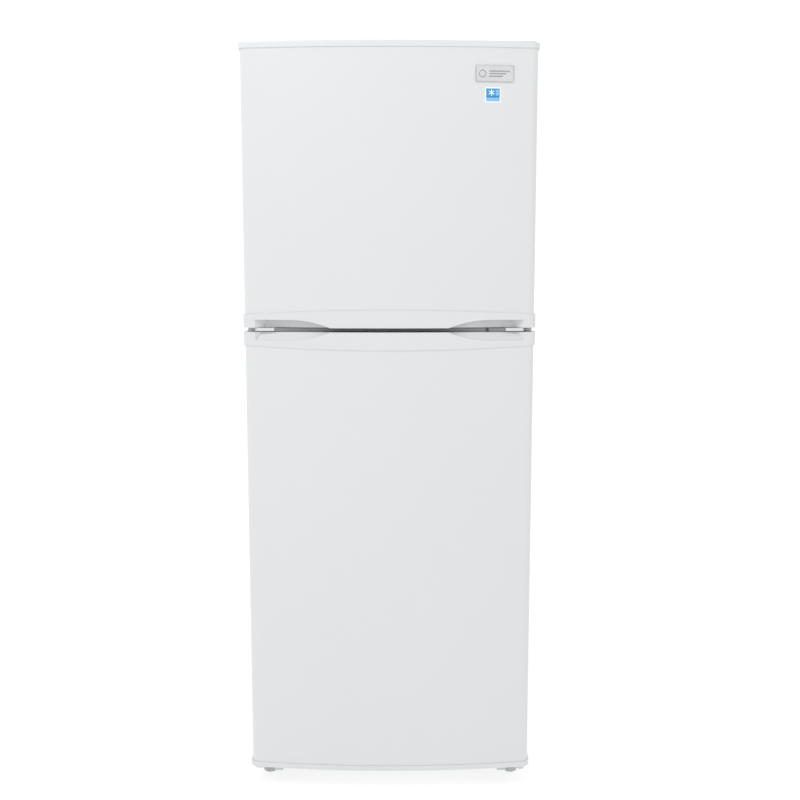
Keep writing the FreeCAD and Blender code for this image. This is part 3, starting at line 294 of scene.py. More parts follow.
def build_palette():
    """A material for each of the record's slots, and the few more that a piece's details need."""
    palette = {
        "white_steel": white_enamel(),
        "zinc_steel": galvanised(),
        "shelf_glass": clear_glass(),
        "lamp_glass": frosted_bulb(),
        "clear_plastic": clear_plastic(),
        "foam": rigid_foam(),
        "badge_metal": brushed_badge(),
    }
    for name, (dark, light, rough, grain, depth, tone_scale, sockets) in FINISHES.items():
        palette[name] = surface(name, dark, light, rough, grain, depth * MM, tone_scale, **sockets)
    return palette


PALETTE = build_palette()

# ---- mesh helpers ----


def piece(name, bm, body, slot, materials=None, smooth=40.0):
    """A finished mesh object that rides on a CAD body."""
    mesh = bpy.data.meshes.new(name)
    bmesh.ops.recalc_face_normals(bm, faces=bm.faces)
    bm.to_mesh(mesh)
    bm.free()
    obj = bpy.data.objects.new(name, mesh)
    bpy.context.scene.collection.objects.link(obj)
    for key in materials or [slot]:
        mesh.materials.append(PALETTE[key])
    mesh.shade_smooth()
    mesh.set_sharp_from_angle(angle=math.radians(smooth))
    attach(obj, body)
    return obj


def corners_of(node):
    """A CAD node's lowest and highest corners."""
    low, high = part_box(node)
    return Vector(low), Vector(high)


def middle_of(node):
    low, high = corners_of(node)
    return (low + high) / 2


def spaced(first, last, count):
    """Evenly spaced values, both ends included."""
    return [first + (last - first) * index / (count - 1) for index in range(count)]


def add_bevel(obj, width, segments=2, angle=40.0):
    """Rounds the sharp edges of a piece or a CAD node, whose mesh itself stays as it is."""
    weld = obj.modifiers.new("Weld", "WELD")
    weld.merge_threshold = 0.00002
    rounding = obj.modifiers.new("Bevel", "BEVEL")
    rounding.width = width
    rounding.segments = segments
    rounding.limit_method = "ANGLE"
    rounding.angle_limit = math.radians(angle)
    rounding.harden_normals = True
    return obj


def paint(faces, material):
    for face in faces:
        face.material_index = material


def add_box(bm, low, high, radius=0.0, segments=3, material=0):
    """A box between two corners, with rounded edges if a radius is given."""
    size = [b - a for a, b in zip(low, high)]
    centre = [(a + b) / 2 for a, b in zip(low, high)]
    made = bmesh.ops.create_cube(bm, size=1.0)
    bmesh.ops.scale(bm, vec=size, verts=made["verts"])
    bmesh.ops.translate(bm, vec=centre, verts=made["verts"])
    faces = {face for vert in made["verts"] for face in vert.link_faces}
    paint(faces, material)
    if radius > 0:
        edges = {edge for face in faces for edge in face.edges}
        rounded = bmesh.ops.bevel(
            bm, geom=list(edges), offset=radius, segments=segments, profile=0.5, affect="EDGES"
        )
        paint(rounded["faces"], material)


def add_tube(bm, start, end, radius, sides=12, material=0):
    """A closed round bar between two points."""
    start, end = Vector(start), Vector(end)
    direction = end - start
    turn = direction.to_track_quat("Z", "Y").to_matrix().to_4x4()
    place = Matrix.Translation((start + end) / 2) @ turn
    made = bmesh.ops.create_cone(
        bm, cap_ends=True, segments=sides, radius1=radius, radius2=radius, depth=direction.length,
        matrix=place,
    )
    paint({face for vert in made["verts"] for face in vert.link_faces}, material)


def add_turned(bm, profile, place, steps=32, material=0):
    """A solid about Z, put where a matrix says. The profile's points are (radius, height), and a radius
    is a number or a function of the angle, for flutes and cross recesses."""
    rings = []
    for radius, height in profile:
        if radius == 0:
            rings.append([bm.verts.new(place @ Vector((0, 0, height)))])
            continue
        ring = []
        for step in range(steps):
            angle = 2 * math.pi * step / steps
            reach = radius(angle) if callable(radius) else radius
            point = Vector((reach * math.cos(angle), reach * math.sin(angle), height))
            ring.append(bm.verts.new(place @ point))
        rings.append(ring)
    for first, second in zip(rings, rings[1:]):
        for step in range(steps):
            after = (step + 1) % steps
            corners = [
                first[step % len(first)], first[after % len(first)],
                second[after % len(second)], second[step % len(second)],
            ]
            unique = list(dict.fromkeys(corners))
            if len(unique) > 2:
                bm.faces.new(unique).material_index = material


def close_seams(bm):
    """Joins the first and last ring of a turned section that closes on itself."""
    bmesh.ops.remove_doubles(bm, verts=bm.verts, dist=1e-6)


def facing(point, direction):
    """A matrix that puts +Z along a direction, at a point."""
    return Matrix.Translation(point) @ Vector(direction).to_track_quat("Z", "Y").to_matrix().to_4x4()


def rounded_loop(low, high, radius, steps=6):
    """A rounded rectangle as (first, second, angle) points, counter-clockwise from its lower right."""
    centres = [
        (high[0] - radius, low[1] + radius, -90), (high[0] - radius, high[1] - radius, 0),
        (low[0] + radius, high[1] - radius, 90), (low[0] + radius, low[1] + radius, 180),
    ]
    points = []
    for first, second, start in centres:
        for step in range(steps + 1):
            angle = math.radians(start + 90 * step / steps)
            points.append((first + radius * math.cos(angle), second + radius * math.sin(angle), angle))
    return points


def add_ring(bm, loop, level, section, axes, material=0):
    """A closed section of (outward, along) points swept round a loop that lies across one axis."""
    first_axis, second_axis, level_axis = axes
    rings = []
    for first, second, angle in loop:
        ring = []
        for outward, along in section:
            place = Vector()
            place[first_axis] = first + outward * math.cos(angle)
            place[second_axis] = second + outward * math.sin(angle)
            place[level_axis] = level + along
            ring.append(bm.verts.new(place))
        rings.append(ring)
    count = len(section)
    for ring, after in zip(rings, rings[1:] + rings[:1]):
        for step in range(count):
            last = (step + 1) % count
            face = bm.faces.new([ring[step], ring[last], after[last], after[step]])
            face.material_index = material


def add_slab(bm, outline, low, high, axis=1, radius=0.0, material=0):
    """An outline extruded along an axis, with its high edge rounded if a radius is given."""
    others = [index for index in range(3) if index != axis]
    layers = []
    for level in (low, high):
        layer = []
        for first, second in outline:
            place = Vector()
            place[others[0]], place[others[1]], place[axis] = first, second, level
            layer.append(bm.verts.new(place))
        layers.append(layer)
    count = len(outline)
    faces = [bm.faces.new(layers[0]), bm.faces.new(layers[1])]
    for step in range(count):
        after = (step + 1) % count
        faces.append(bm.faces.new([layers[0][step], layers[0][after], layers[1][after], layers[1][step]]))
    paint(faces, material)
    if radius > 0:
        rounded = bmesh.ops.bevel(
            bm, geom=list(faces[1].edges), offset=radius, segments=3, profile=0.5, affect="EDGES"
        )
        paint(rounded["faces"], material)


def round_plate(x, z, radius):
    """The outline of a plate with rounded corners."""
    return [(point[0], point[1]) for point in rounded_loop((x[0], z[0]), (x[1], z[1]), radius)]


RING_XZ = (0, 2, 1)
RING_XY = (0, 1, 2)

# ---- the bowed face ----

FACE = -298.5 * MM
HALF = 270 * MM
BOW = 20 * MM
BOW_RADIUS = (HALF**2 + BOW**2) / (2 * BOW)


def face_y(x, proud=0.0):
    """Where the bowed face is at x, moved out by an amount."""
    return FACE + BOW_RADIUS - math.sqrt((BOW_RADIUS + proud) ** 2 - x**2)


def lay_on_face(bm, column=0.004):
    """Bends a flat piece onto the bow. Before this, a point's Y says how far it stands out of the face."""
    places = [vert.co.x for vert in bm.verts]
    x = min(places) + column
    while x < max(places):
        bmesh.ops.bisect_plane(
            bm, geom=list(bm.verts) + list(bm.edges) + list(bm.faces), plane_co=(x, 0, 0), plane_no=(1, 0, 0)
        )
        x += column
    for vert in bm.verts:
        vert.co.y = face_y(vert.co.x, vert.co.y)


# ---- badge and sticker ----


def badge():
    """A silver plate with a raised rim. Its raised ring and bars are a plain pattern, not a mark."""
    low, high = corners_of("badge_plate")
    x, z = (low.x, high.x), (low.z, high.z)
    rim, plate, raised = 1.3 * MM, 0.7 * MM, 1.15 * MM
    bm = bmesh.new()
    add_slab(bm, round_plate(x, z, 1.6 * MM), -0.2 * MM, plate)
    loop = rounded_loop((x[0] + rim, z[0] + rim), (x[1] - rim, z[1] - rim), 0.9 * MM)
    section = mm([(-0.7, 0.6), (1.3, 0.6), (1.3, 1.1), (0.9, 1.5), (0.1, 1.5), (-0.7, 0.95)])
    add_ring(bm, loop, 0.0, section, RING_XZ, material=2)
    middle = (z[0] + z[1]) / 2
    emblem_x = x[0] + 13 * MM
    reach = 6 * MM
    corner = 5.99 * MM
    circle = rounded_loop((emblem_x - reach, middle - reach), (emblem_x + reach, middle + reach), corner)
    band = mm([(-0.8, 0.7), (0.8, 0.7), (0.5, 1.15), (-0.5, 1.15)])
    add_ring(bm, circle, 0.0, band, RING_XZ, material=1)
    bar_start, bar_half = x[0] + 24 * MM, 1 * MM
    for offset, end in ((4.5, 62), (0.0, 56), (-4.5, 50)):
        bar_z = middle + offset * MM
        bar = round_plate((bar_start, x[0] + end * MM), (bar_z - bar_half, bar_z + bar_half), 0.95 * MM)
        add_slab(bm, bar, plate - 0.05 * MM, raised, radius=0.2 * MM, material=1)
    lay_on_face(bm)
    metals = ["badge_metal", "badge_dark", "badge_rim"]
    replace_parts(piece("badge", bm, "freezer_door", "badge_metal", metals), "badge_plate")


def star_outline(centre, reach, width, arms):
    """A star of straight arms, each as wide all along, as one closed outline."""
    points = []
    for arm in range(arms):
        angle = math.pi / 2 + 2 * math.pi * arm / arms
        along = Vector((math.cos(angle), math.sin(angle)))
        across = Vector((-along.y, along.x)) * width / 2
        inner = width / 2 / math.tan(math.pi / arms)
        for place in (along * inner - across, along * reach - across, along * reach + across):
            points.append((centre[0] + place.x, centre[1] + place.y))
    return points


def efficiency_sticker():
    """A square blue sticker with a white border, a pale star of frost and a lighter band below."""
    low, high = corners_of("energy_label")
    x, z = (low.x, high.x), (low.z, high.z)
    border, line = 2.2 * MM, 1.2 * MM
    low_band = 0.36
    inner_x, inner_z = (x[0] + border, x[1] - border), (z[0] + border, z[1] - border)
    band_z = inner_z[0] + low_band * (inner_z[1] - inner_z[0])
    print_low, print_high = 0.1 * MM, 0.2 * MM
    bm = bmesh.new()
    add_slab(bm, round_plate(x, z, 1.2 * MM), -0.1 * MM, 0.12 * MM)
    upper = round_plate(inner_x, (band_z, inner_z[1]), 0.5 * MM)
    lower = round_plate(inner_x, (inner_z[0], band_z - line), 0.5 * MM)
    between = round_plate(inner_x, (band_z - line, band_z), 0.3 * MM)
    add_slab(bm, upper, print_low, print_high, material=1)
    add_slab(bm, lower, print_low, print_high, material=2)
    add_slab(bm, between, print_low, 0.22 * MM, material=3)
    centre = ((x[0] + x[1]) / 2 - 2.5 * MM, (band_z + inner_z[1]) / 2)
    add_slab(bm, star_outline(centre, 6 * MM, 1.5 * MM, 6), 0.15 * MM, 0.28 * MM)
    sweep_x = (centre[0] + 8 * MM, inner_x[1] - 1.5 * MM)
    sweep_z = (band_z + 2 * MM, inner_z[1] - 2 * MM)
    add_slab(bm, round_plate(sweep_x, sweep_z, 1.5 * MM), 0.15 * MM, 0.26 * MM, material=2)
    lay_on_face(bm)
    shades = ["label_white", "label_blue", "label_light_blue", "label_deep_blue"]
    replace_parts(piece("efficiency_sticker", bm, "freezer_door", "label_blue", shades), "energy_label")


def gap_shade_strip():
    """The moulded strip over the rail's nose, in the gap between the doors, with its screw. Its grey is
    painted shade that stands in for the shade deep in the gap.
    """
    front = corners_of("center_rail")[0].y - 1.6 * MM
    back = -236 * MM
    low_z, high_z = 898.9 * MM, 905.1 * MM
    shell, chamfer, slant = 0.9 * MM, 1 * MM, 0.3 * MM
    outline = [
        (back, low_z), (front + chamfer, low_z), (front + slant, low_z + slant), (front, low_z + chamfer),
        (front, high_z - chamfer), (front + slant, high_z - slant), (front + chamfer, high_z), (back, high_z),
        (back, high_z - shell), (front + shell, high_z - shell), (front + shell, low_z + shell),
        (back, low_z + shell),
    ]
    bm = bmesh.new()
    add_slab(bm, outline, -213.4 * MM, 215.4 * MM, axis=0)
    screw_at = (LEAF_SCREW_X * MM, front, (low_z + high_z) / 2)
    add_screw(bm, screw_at, FORWARD, 2.6 * MM, 1.5 * MM, material=1)
    # The strip's grey material is painted shade for the gap between the doors.
    piece("gap_shade_strip", bm, "cabinet", "grey_plastic", ["gap_painted_shade_grey", "screw_dark"])


# ---- door seals and bins ----


def door_gaskets():
    """Each door's magnetic seal: a flat contact face on a folded bellows, with a thin inner lip."""
    inset = 6.5 * MM
    section = mm([
        (-6.5, 0), (-6.2, 0), (6.2, 0), (6.5, -0.4), (6.5, -2.6), (4.6, -3.4), (6.3, -4.6), (6.1, -5.4),
        (4.3, -6.4), (6.0, -7.6), (5.6, -8.6), (4.2, -9.5), (-4.2, -9.5), (-4.6, -8.2), (-2.6, -6.8),
        (-4.8, -5.6), (-4.9, -4.6), (-3.0, -3.6), (-6.5, -2.6),
    ])
    for door in ("freezer_door", "fridge_door"):
        low, high = corners_of(f"{door}_gasket")
        loop = rounded_loop((low.x + inset, low.z + inset), (high.x - inset, high.z - inset), 3 * MM)
        bm = bmesh.new()
        add_ring(bm, loop, high.y, section, RING_XZ)
        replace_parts(piece(f"{door}_seal", bm, door, "gasket_rubber", smooth=30.0), f"{door}_gasket")


def bin_trim(node, body, spans):
    """A rolled rim and front ribs on moulded bins, one for each height span in millimetres."""
    low, high = corners_of(node)
    rim = mm([
        (-0.4, -4), (0.9, -4), (1.3, -2.5), (1.3, -0.6), (0.6, 0), (-1.6, 0), (-2.2, -0.7), (-1.9, -1.5),
    ])
    foot = mm([(0, 0), (0.8, 1), (0.8, 4), (0, 5), (-1, 5), (-1, 0)])
    corner, out = 8 * MM, 1.3 * MM
    margin, rib_half = 30 * MM, 1.2 * MM
    bm = bmesh.new()
    for bottom, top in mm(spans):
        loop = rounded_loop((low.x + out, low.y + out), (high.x - out, high.y - out), corner - out)
        add_ring(bm, loop, top, rim, RING_XY)
        add_ring(bm, loop, bottom, foot, RING_XY)
        for x in spaced(low.x + margin, high.x - margin, 13):
            start = (x - rib_half, high.y - 2.2 * MM, bottom + corner)
            end = (x + rib_half, high.y - out + 0.9 * MM, top - corner)
            add_box(bm, start, end, 0.5 * MM, 2)
    return piece(f"{node}_trim", bm, body, "clear_plastic")


def door_inner_details():
    """Rims and ribs on the door bins, and the moulded lugs that hold them."""
    bin_trim("freezer_door_bins", "freezer_door", FREEZER_BINS)
    bin_trim("fridge_door_bins", "fridge_door", FRIDGE_BINS)
    bin_trim("bottle_bin", "fridge_door", [BOTTLE_BIN])
    side, lug_width, lug_height = 189 * MM, 7 * MM, 9
    for door, bins in (("freezer_door", FREEZER_BINS), ("fridge_door", (BOTTLE_BIN, *FRIDGE_BINS))):
        low, high = corners_of(f"{door}_liner")
        bm = bmesh.new()
        for height, _ in bins:
            for sign in (-1, 1):
                outer = sorted((sign * side, sign * (side - lug_width)))
                start = (outer[0], low.y + 14 * MM, (height - lug_height) * MM)
                end = (outer[1], high.y - 6 * MM, (height - 0.4) * MM)
                add_box(bm, start, end, 1.5 * MM)
        piece(f"{door}_bin_lugs", bm, door, "liner_plastic")


def cap_covers():
    """A flat cover that closes the hollow back of each grip cap, up to the door's liner."""
    half, skin, past = 259 * MM, 3 * MM, 1 * MM
    back = corners_of("fridge_door_liner")[0].y
    spans = {
        "freezer_door": (
            corners_of("freezer_door_bottom_cap")[0].z + skin, corners_of("freezer_door_liner")[0].z + past
        ),
        "fridge_door": (
            corners_of("fridge_door_liner")[1].z - past, corners_of("fridge_door_top_cap")[1].z - skin
        ),
    }
    for door, z in spans.items():
        bm = bmesh.new()
        plate = round_plate((-half, half), z, 2 * MM)
        add_slab(bm, plate, back - 0.9 * MM, back + 1.35 * MM, radius=0.4 * MM)
        piece(f"{door}_cap_cover", bm, door, "white_plastic")


# ---- screws, feet and rollers ----


def cross(reach, width):
    """The radius of a plus sign at each angle."""
    def radius(angle):
        along, across = abs(math.cos(angle)) + 1e-6, abs(math.sin(angle)) + 1e-6
        return max(min(reach / along, width / across), min(reach / across, width / along))
    return radius


def add_screw(bm, point, direction, radius, height, material=0):
    """A pan head with a cross recess, standing on a surface."""
    profile = [
        (0, 0), (radius, 0), (radius, 0.3 * height), (0.88 * radius, 0.68 * height),
        (0.7 * radius, 0.92 * height), (0.56 * radius, height), (cross(0.46 * radius, 0.11 * radius), height),
        (cross(0.3 * radius, 0.08 * radius), 0.4 * height), (0, 0.3 * height),
    ]
    add_turned(bm, profile, facing(point, direction), steps=48, material=material)


def add_bolt(bm, point, height, material=0):
    """A hexagon nut with a washer under it and the end of its stud, along Z."""
    flat = math.radians(60)

    def hexagon(reach):
        return lambda angle: reach * math.cos(flat / 2) / math.cos(angle % flat - flat / 2)

    washer, washer_top = 8.5 * MM, 0.9 * MM
    nut = hexagon(7.4 * MM)
    profile = [
        (0, 0), (washer, 0), (washer, washer_top), (nut, washer_top), (nut, 5.2 * MM), (5.4 * MM, 6 * MM),
        (4 * MM, 6 * MM), (4 * MM, height - 0.6 * MM), (3.4 * MM, height), (0, height),
    ]
    add_turned(bm, profile, Matrix.Translation(point), steps=48, material=material)


def thread(low, high, radius, pitch):
    """The profile of a threaded stud, from its low end to its high end."""
    turns = int((high - low) / pitch)
    root = radius - 0.55 * pitch
    points = []
    for turn in range(turns):
        start = low + turn * pitch
        points += [(root, start), (radius, start + 0.35 * pitch), (radius, start + 0.6 * pitch)]
    return points + [(root, low + turns * pitch)]


def screws():
    """Every loose screw and nut: on the hinges, the foot brackets, the compressor and the centre rail."""
    head, dome = 5 * MM, 2.6 * MM
    hinge_top = corners_of("top_hinge")[0].z + 3 * MM
    bm = bmesh.new()
    for x in (224, 250):
        add_screw(bm, (x * MM, -185 * MM, hinge_top), UPWARD, head, dome)
    for side in (-1, 1):
        for x in (222, 256):
            add_screw(bm, (side * x * MM, -172 * MM, 35 * MM), DOWNWARD, head, dome)
    for x in (COMPRESSOR_X - 85, COMPRESSOR_X + 85):
        for y in (COMPRESSOR_Y - 45, COMPRESSOR_Y + 45):
            add_bolt(bm, (x * MM, y * MM, 52.6 * MM), 9 * MM)
            add_tube(bm, (x * MM, y * MM, 40.5 * MM), (x * MM, y * MM, 53 * MM), 3.9 * MM, 20)
    leaf_front = corners_of("center_rail")[0].y - 3 * MM
    leaf_at = (LEAF_SCREW_X * MM, leaf_front, GAP_MIDDLE * MM)
    add_screw(bm, leaf_at, FORWARD, 3 * MM, 1.9 * MM, material=1)
    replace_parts(piece("screws", bm, "cabinet", "zinc_steel", ["zinc_steel", "screw_dark"]), "fasteners")


def levelling_feet():
    """Fluted plastic feet on threaded studs."""
    def flutes(radius):
        return lambda angle: radius - 0.9 * MM * max(0.0, math.cos(12 * angle)) ** 2

    rim = 13.5 * MM
    fluted = flutes(rim)
    profile = [
        (0, 1 * MM), (9 * MM, 1 * MM), (9.6 * MM, 0), (rim - 1 * MM, 0), (rim, 1 * MM), (rim, 2 * MM),
        (fluted, 2.6 * MM), (fluted, 7.6 * MM), (rim - 0.8 * MM, 8.4 * MM), (rim - 2 * MM, 10 * MM),
        *mm([(7, 11.2), (6.4, 13), (4.4, 13), (4.4, 12.8), (0, 12.8)]),
    ]
    for side in ("left", "right"):
        node = f"leveling_foot_{side}"
        centre = middle_of(node)
        top = corners_of(node)[1].z
        place = Matrix.Translation((centre.x, centre.y, 0))
        stud = [(0, 12.5 * MM), *thread(13 * MM, top, 4 * MM, 1.25 * MM), (0, top)]
        bm = bmesh.new()
        add_turned(bm, profile, place, steps=144)
        add_turned(bm, stud, place, steps=24, material=1)
        made = piece(f"foot_{side}", bm, node, "grey_plastic", ["grey_plastic", "zinc_steel"], smooth=35.0)
        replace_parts(made, node)


def rear_rollers():
    """Rollers with two grooves in the tread, a sunk web and a bore for the axle."""
    hole = 3.08 * MM
    for side in ("left", "right"):
        node = f"rear_roller_{side}"
        low, high = corners_of(node)
        tread = (high.z - low.z) / 2
        half = (high.x - low.x) / 2
        web = -half + 1 * MM
        flank = [
            (hole, -half), (hole + 2.5 * MM, -half), (hole + 2.8 * MM, web), (tread - 3 * MM, web),
            (tread - 2.5 * MM, -half), (tread - 1 * MM, -half + 0.4 * MM), (tread, -half + 1.5 * MM),
        ]
        profile = list(flank)
        for groove in (-2.2 * MM, 2.2 * MM):
            profile += [(tread, groove - 0.6 * MM), (tread - 0.8 * MM, groove), (tread, groove + 0.6 * MM)]
        profile += [(radius, -height) for radius, height in reversed(flank)]
        bm = bmesh.new()
        add_turned(bm, profile + [profile[0]], facing(middle_of(node), RIGHTWARD), steps=64)
        close_seams(bm)
        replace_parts(piece(f"roller_{side}", bm, node, "black_plastic", smooth=35.0), node)


# ---- back of the cabinet ----


def condenser_wires():
    """The thin upright wires on both sides of the condenser's tube, apart from where its straps are."""
    low, high = corners_of("condenser")
    tube, wire, sunk = 2.6 * MM, 0.7 * MM, 0.2 * MM
    half, end = 186 * MM, 6 * MM
    strap_clear = 7 * MM
    straps = (-180 * MM, -60 * MM, 60 * MM, 180 * MM)
    centre = high.y - tube
    bm = bmesh.new()
    for x in spaced(-half, half, 38):
        for side in (-1, 1):
            if side < 0 and min(abs(x - strap) for strap in straps) < strap_clear:
                continue
            y = centre + side * (tube + wire - sunk)
            add_tube(bm, (x, y, low.z + end), (x, y, high.z - end), wire, 8)
    piece("condenser_wires", bm, "cabinet", "black_steel")


def rear_panel_details():
    """Pressed ribs, the top seal, edge screws, foam plugs and a blank plate on the rear panel."""
    low, high = corners_of("rear_panel")
    y = high.y
    rib_half, rib_corner, margin = 5 * MM, 4.9 * MM, 60 * MM
    ribs = [
        round_plate((x - rib_half, x + rib_half), (low.z + margin, high.z - margin), rib_corner)
        for x in (-236 * MM, 236 * MM)
    ]
    top_rib = 1330 * MM
    ribs.append(round_plate((-214 * MM, 214 * MM), (top_rib - rib_half, top_rib + rib_half), rib_corner))
    bm = bmesh.new()
    for rib in ribs:
        add_slab(bm, rib, y - 0.3 * MM, y + 1.6 * MM, radius=1.3 * MM)
    seal = round_plate((-262 * MM, 262 * MM), (high.z - 3 * MM, high.z + 4.8 * MM), 2 * MM)
    add_slab(bm, seal, y - 1.6 * MM, y - 0.1 * MM, radius=0.5 * MM)
    piece("rear_panel_ribs", bm, "cabinet", "zinc_steel")

    edge, inward = 12 * MM, 100 * MM
    places = [
        (x, z) for x in (low.x + edge, high.x - edge) for z in spaced(low.z + edge, high.z - edge, 6)
    ]
    places += [(x, high.z - edge) for x in spaced(low.x + inward, high.x - inward, 3)]
    bm = bmesh.new()
    for x, z in places:
        add_screw(bm, (x, y, z), BACKWARD, 4 * MM, 2 * MM)
    piece("rear_panel_screws", bm, "cabinet", "zinc_steel")

    plug = mm([(0, 0), (13, 0), (12.5, 1), (9, 1.6), (8.4, 1), (0, 1)])
    bm = bmesh.new()
    for x in (-90 * MM, 90 * MM):
        add_turned(bm, plug, facing((x, y, 350 * MM), BACKWARD), steps=48)
    piece("foam_hole_plugs", bm, "cabinet", "white_plastic")

    plate_low, plate_high = (110 * MM, 262 * MM), (190 * MM, 312 * MM)
    inset = 3 * MM
    bm = bmesh.new()
    plate = round_plate((plate_low[0], plate_high[0]), (plate_low[1], plate_high[1]), inset)
    add_slab(bm, plate, y - 0.1 * MM, y + 0.5 * MM, radius=0.2 * MM)
    loop = rounded_loop(
        (plate_low[0] + inset, plate_low[1] + inset), (plate_high[0] - inset, plate_high[1] - inset), 2 * MM
    )
    line = mm([(-0.3, 0.4), (0.3, 0.4), (0.3, 0.65), (-0.3, 0.65)])
    add_ring(bm, loop, y, line, RING_XZ, material=1)
    piece("blank_plate", bm, "cabinet", "badge_metal", ["badge_metal", "badge_dark"])


def compressor_details():
    """The weld bead round the can, the lead clip, the sleeve on the suction tube and the solder joints."""
    seam = 125 * MM

    def bead(angle):
        return 69.2 * MM + 0.35 * MM * math.sin(90 * angle)

    inner = 67 * MM
    weld = [
        (inner, seam - 1.4 * MM), (bead, seam - 0.8 * MM), (bead, seam + 0.4 * MM), (inner, seam + 1.6 * MM),
        (inner, seam - 1.4 * MM),
    ]
    bm = bmesh.new()
    add_turned(bm, weld, Matrix.Translation((COMPRESSOR_X * MM, COMPRESSOR_Y * MM, 0)), steps=360)
    close_seams(bm)
    piece("compressor_weld", bm, "cabinet", "black_steel", smooth=60.0)

    low, high = corners_of("relay_cover")
    clip, spread_half = 1.1 * MM, 9 * MM
    out = low.x - clip
    middle = (low.y + high.y) / 2
    bm = bmesh.new()
    for offset in (-spread_half, spread_half):
        y = middle + offset
        shoulder = (out, y, high.z + clip)
        add_tube(bm, (out, y, low.z - 1 * MM), shoulder, clip, 10)
        add_tube(bm, shoulder, (high.x + 6 * MM, y, high.z + clip), clip, 10)
    add_tube(bm, (out, middle - spread_half, low.z), (out, middle + spread_half, low.z), clip, 10)
    piece("relay_clip", bm, "cabinet", "zinc_steel")

    sleeve = mm([(4.05, 172), (8.6, 172), (9, 173), (9, 240), (8.6, 241), (4.05, 241), (4.05, 172)])
    bm = bmesh.new()
    add_turned(bm, sleeve, Matrix.Translation((220 * MM, SUCTION_Y * MM, 0)), steps=40)
    close_seams(bm)
    piece("suction_sleeve", bm, "cabinet", "black_rubber")

    bm = bmesh.new()
    for y, z, radius in ((SUCTION_Y, SUCTION_Z, 4.9), (DISCHARGE_Y, DISCHARGE_Z, 3.8)):
        neck = 0.8 * radius
        joint = mm([(neck, -8), (radius, -6), (radius, 3), (neck, 6), (neck, -8)])
        add_turned(bm, joint, facing((160 * MM, y * MM, z * MM), RIGHTWARD), steps=28)
    close_seams(bm)
    piece("solder_joints", bm, "cabinet", "copper")


# ---- inside the compartments ----


def shelf_trims():
    """Moulded trims on the front and back edges of the glass shelves."""
    half = 220.5 * MM
    section = mm([
        (0, 1.2), (3.4, 1.2), (4.0, 0.4), (4.0, -4.6), (3.2, -5.6), (-11, -5.6), (-11, -4.1), (-0.6, -4.1),
        (-0.6, 0.05), (-11, 0.05), (-11, 1.2),
    ])
    low, high = corners_of("glass_shelves")
    edges = [(y, top, ahead) for top in SHELF_TOPS for y, ahead in ((low.y, -1), (high.y, 1))]
    edges.append((corners_of("crisper_cover")[0].y, CRISPER_TOP, -1))
    bm = bmesh.new()
    for y, top, ahead in edges:
        outline = [(y + ahead * forward, top * MM + up) for forward, up in section]
        add_slab(bm, outline, -half, half, axis=0)
    add_bevel(piece("shelf_trims", bm, "cabinet", "white_plastic"), 0.4 * MM)


def air_duct():
    """The raised duct on the fresh-food compartment's back wall, with slots above and between shelves."""
    wall, front, half = 235 * MM, 224 * MM, 62 * MM
    slot_x, slot_reach, slot_half, slot_corner = 26 * MM, 20 * MM, 1.5 * MM, 1.4 * MM
    row_pitch = 11
    lip = mm([(0, 0.2), (0, -0.9), (0.5, -1.1), (1.2, -0.6), (1.3, 0.2)])
    bm = bmesh.new()
    add_slab(bm, round_plate((-half, half), (330 * MM, 858 * MM), 10 * MM), wall, front, radius=5 * MM)
    for level in (610, 790):
        for row in range(4):
            z = (level + row * row_pitch) * MM
            for x in (-slot_x, slot_x):
                low, high = (x - slot_reach, z - slot_half), (x + slot_reach, z + slot_half)
                slot = round_plate((low[0], high[0]), (low[1], high[1]), slot_corner)
                # Each slot is filled with a dark sheet: painted shade for the depth of the slot.
                add_slab(bm, slot, front + 0.5 * MM, front - 0.12 * MM, material=1)
                add_ring(bm, rounded_loop(low, high, slot_corner), front, lip, RING_XZ)
    piece("air_duct", bm, "cabinet", "white_plastic", ["white_plastic", "seam_shadow"])


def drawer_details():
    """A rolled rim, ridges across the front and runners under the crisper drawer."""
    low, high = corners_of("crisper_drawer")
    half, front, rear = 205 * MM, -135 * MM, 45 * MM
    rim = mm([
        (-2.2, -1.2), (-1.6, -0.1), (0.8, -0.1), (2.0, -0.8), (2.0, -4), (1.2, -4.6), (0.2, -4.4),
        (0.2, -1.6),
    ])
    bm = bmesh.new()
    add_ring(bm, rounded_loop((-half, front), (half, rear), 12 * MM), high.z, rim, RING_XY)
    ridge, ridge_half = 182 * MM, 1.6 * MM
    for z in spaced(118 * MM, 238 * MM, 7):
        start = (-ridge, front - 1.1 * MM, z - ridge_half)
        add_box(bm, start, (ridge, front + 0.6 * MM, z + ridge_half), 0.6 * MM, 2)
    runner_half, runner_inset = 4 * MM, 20 * MM
    for x in (-150 * MM, 150 * MM):
        start = (x - runner_half, front + runner_inset, low.z)
        add_box(bm, start, (x + runner_half, rear - runner_inset, low.z + 3 * MM), 0.8 * MM, 2)
    piece("drawer_trim", bm, "crisper_drawer", "clear_plastic")

    grip_front = -141 * MM
    rib_reach, rib_half = 52 * MM, 0.9 * MM
    bm = bmesh.new()
    for z in spaced(268 * MM, 278 * MM, 4):
        start = (-rib_reach, grip_front, z - rib_half)
        add_box(bm, start, (rib_reach, grip_front + 2.4 * MM, z + rib_half), 0.4 * MM, 2)
    piece("drawer_grip_ribs", bm, "crisper_drawer", "clear_plastic")


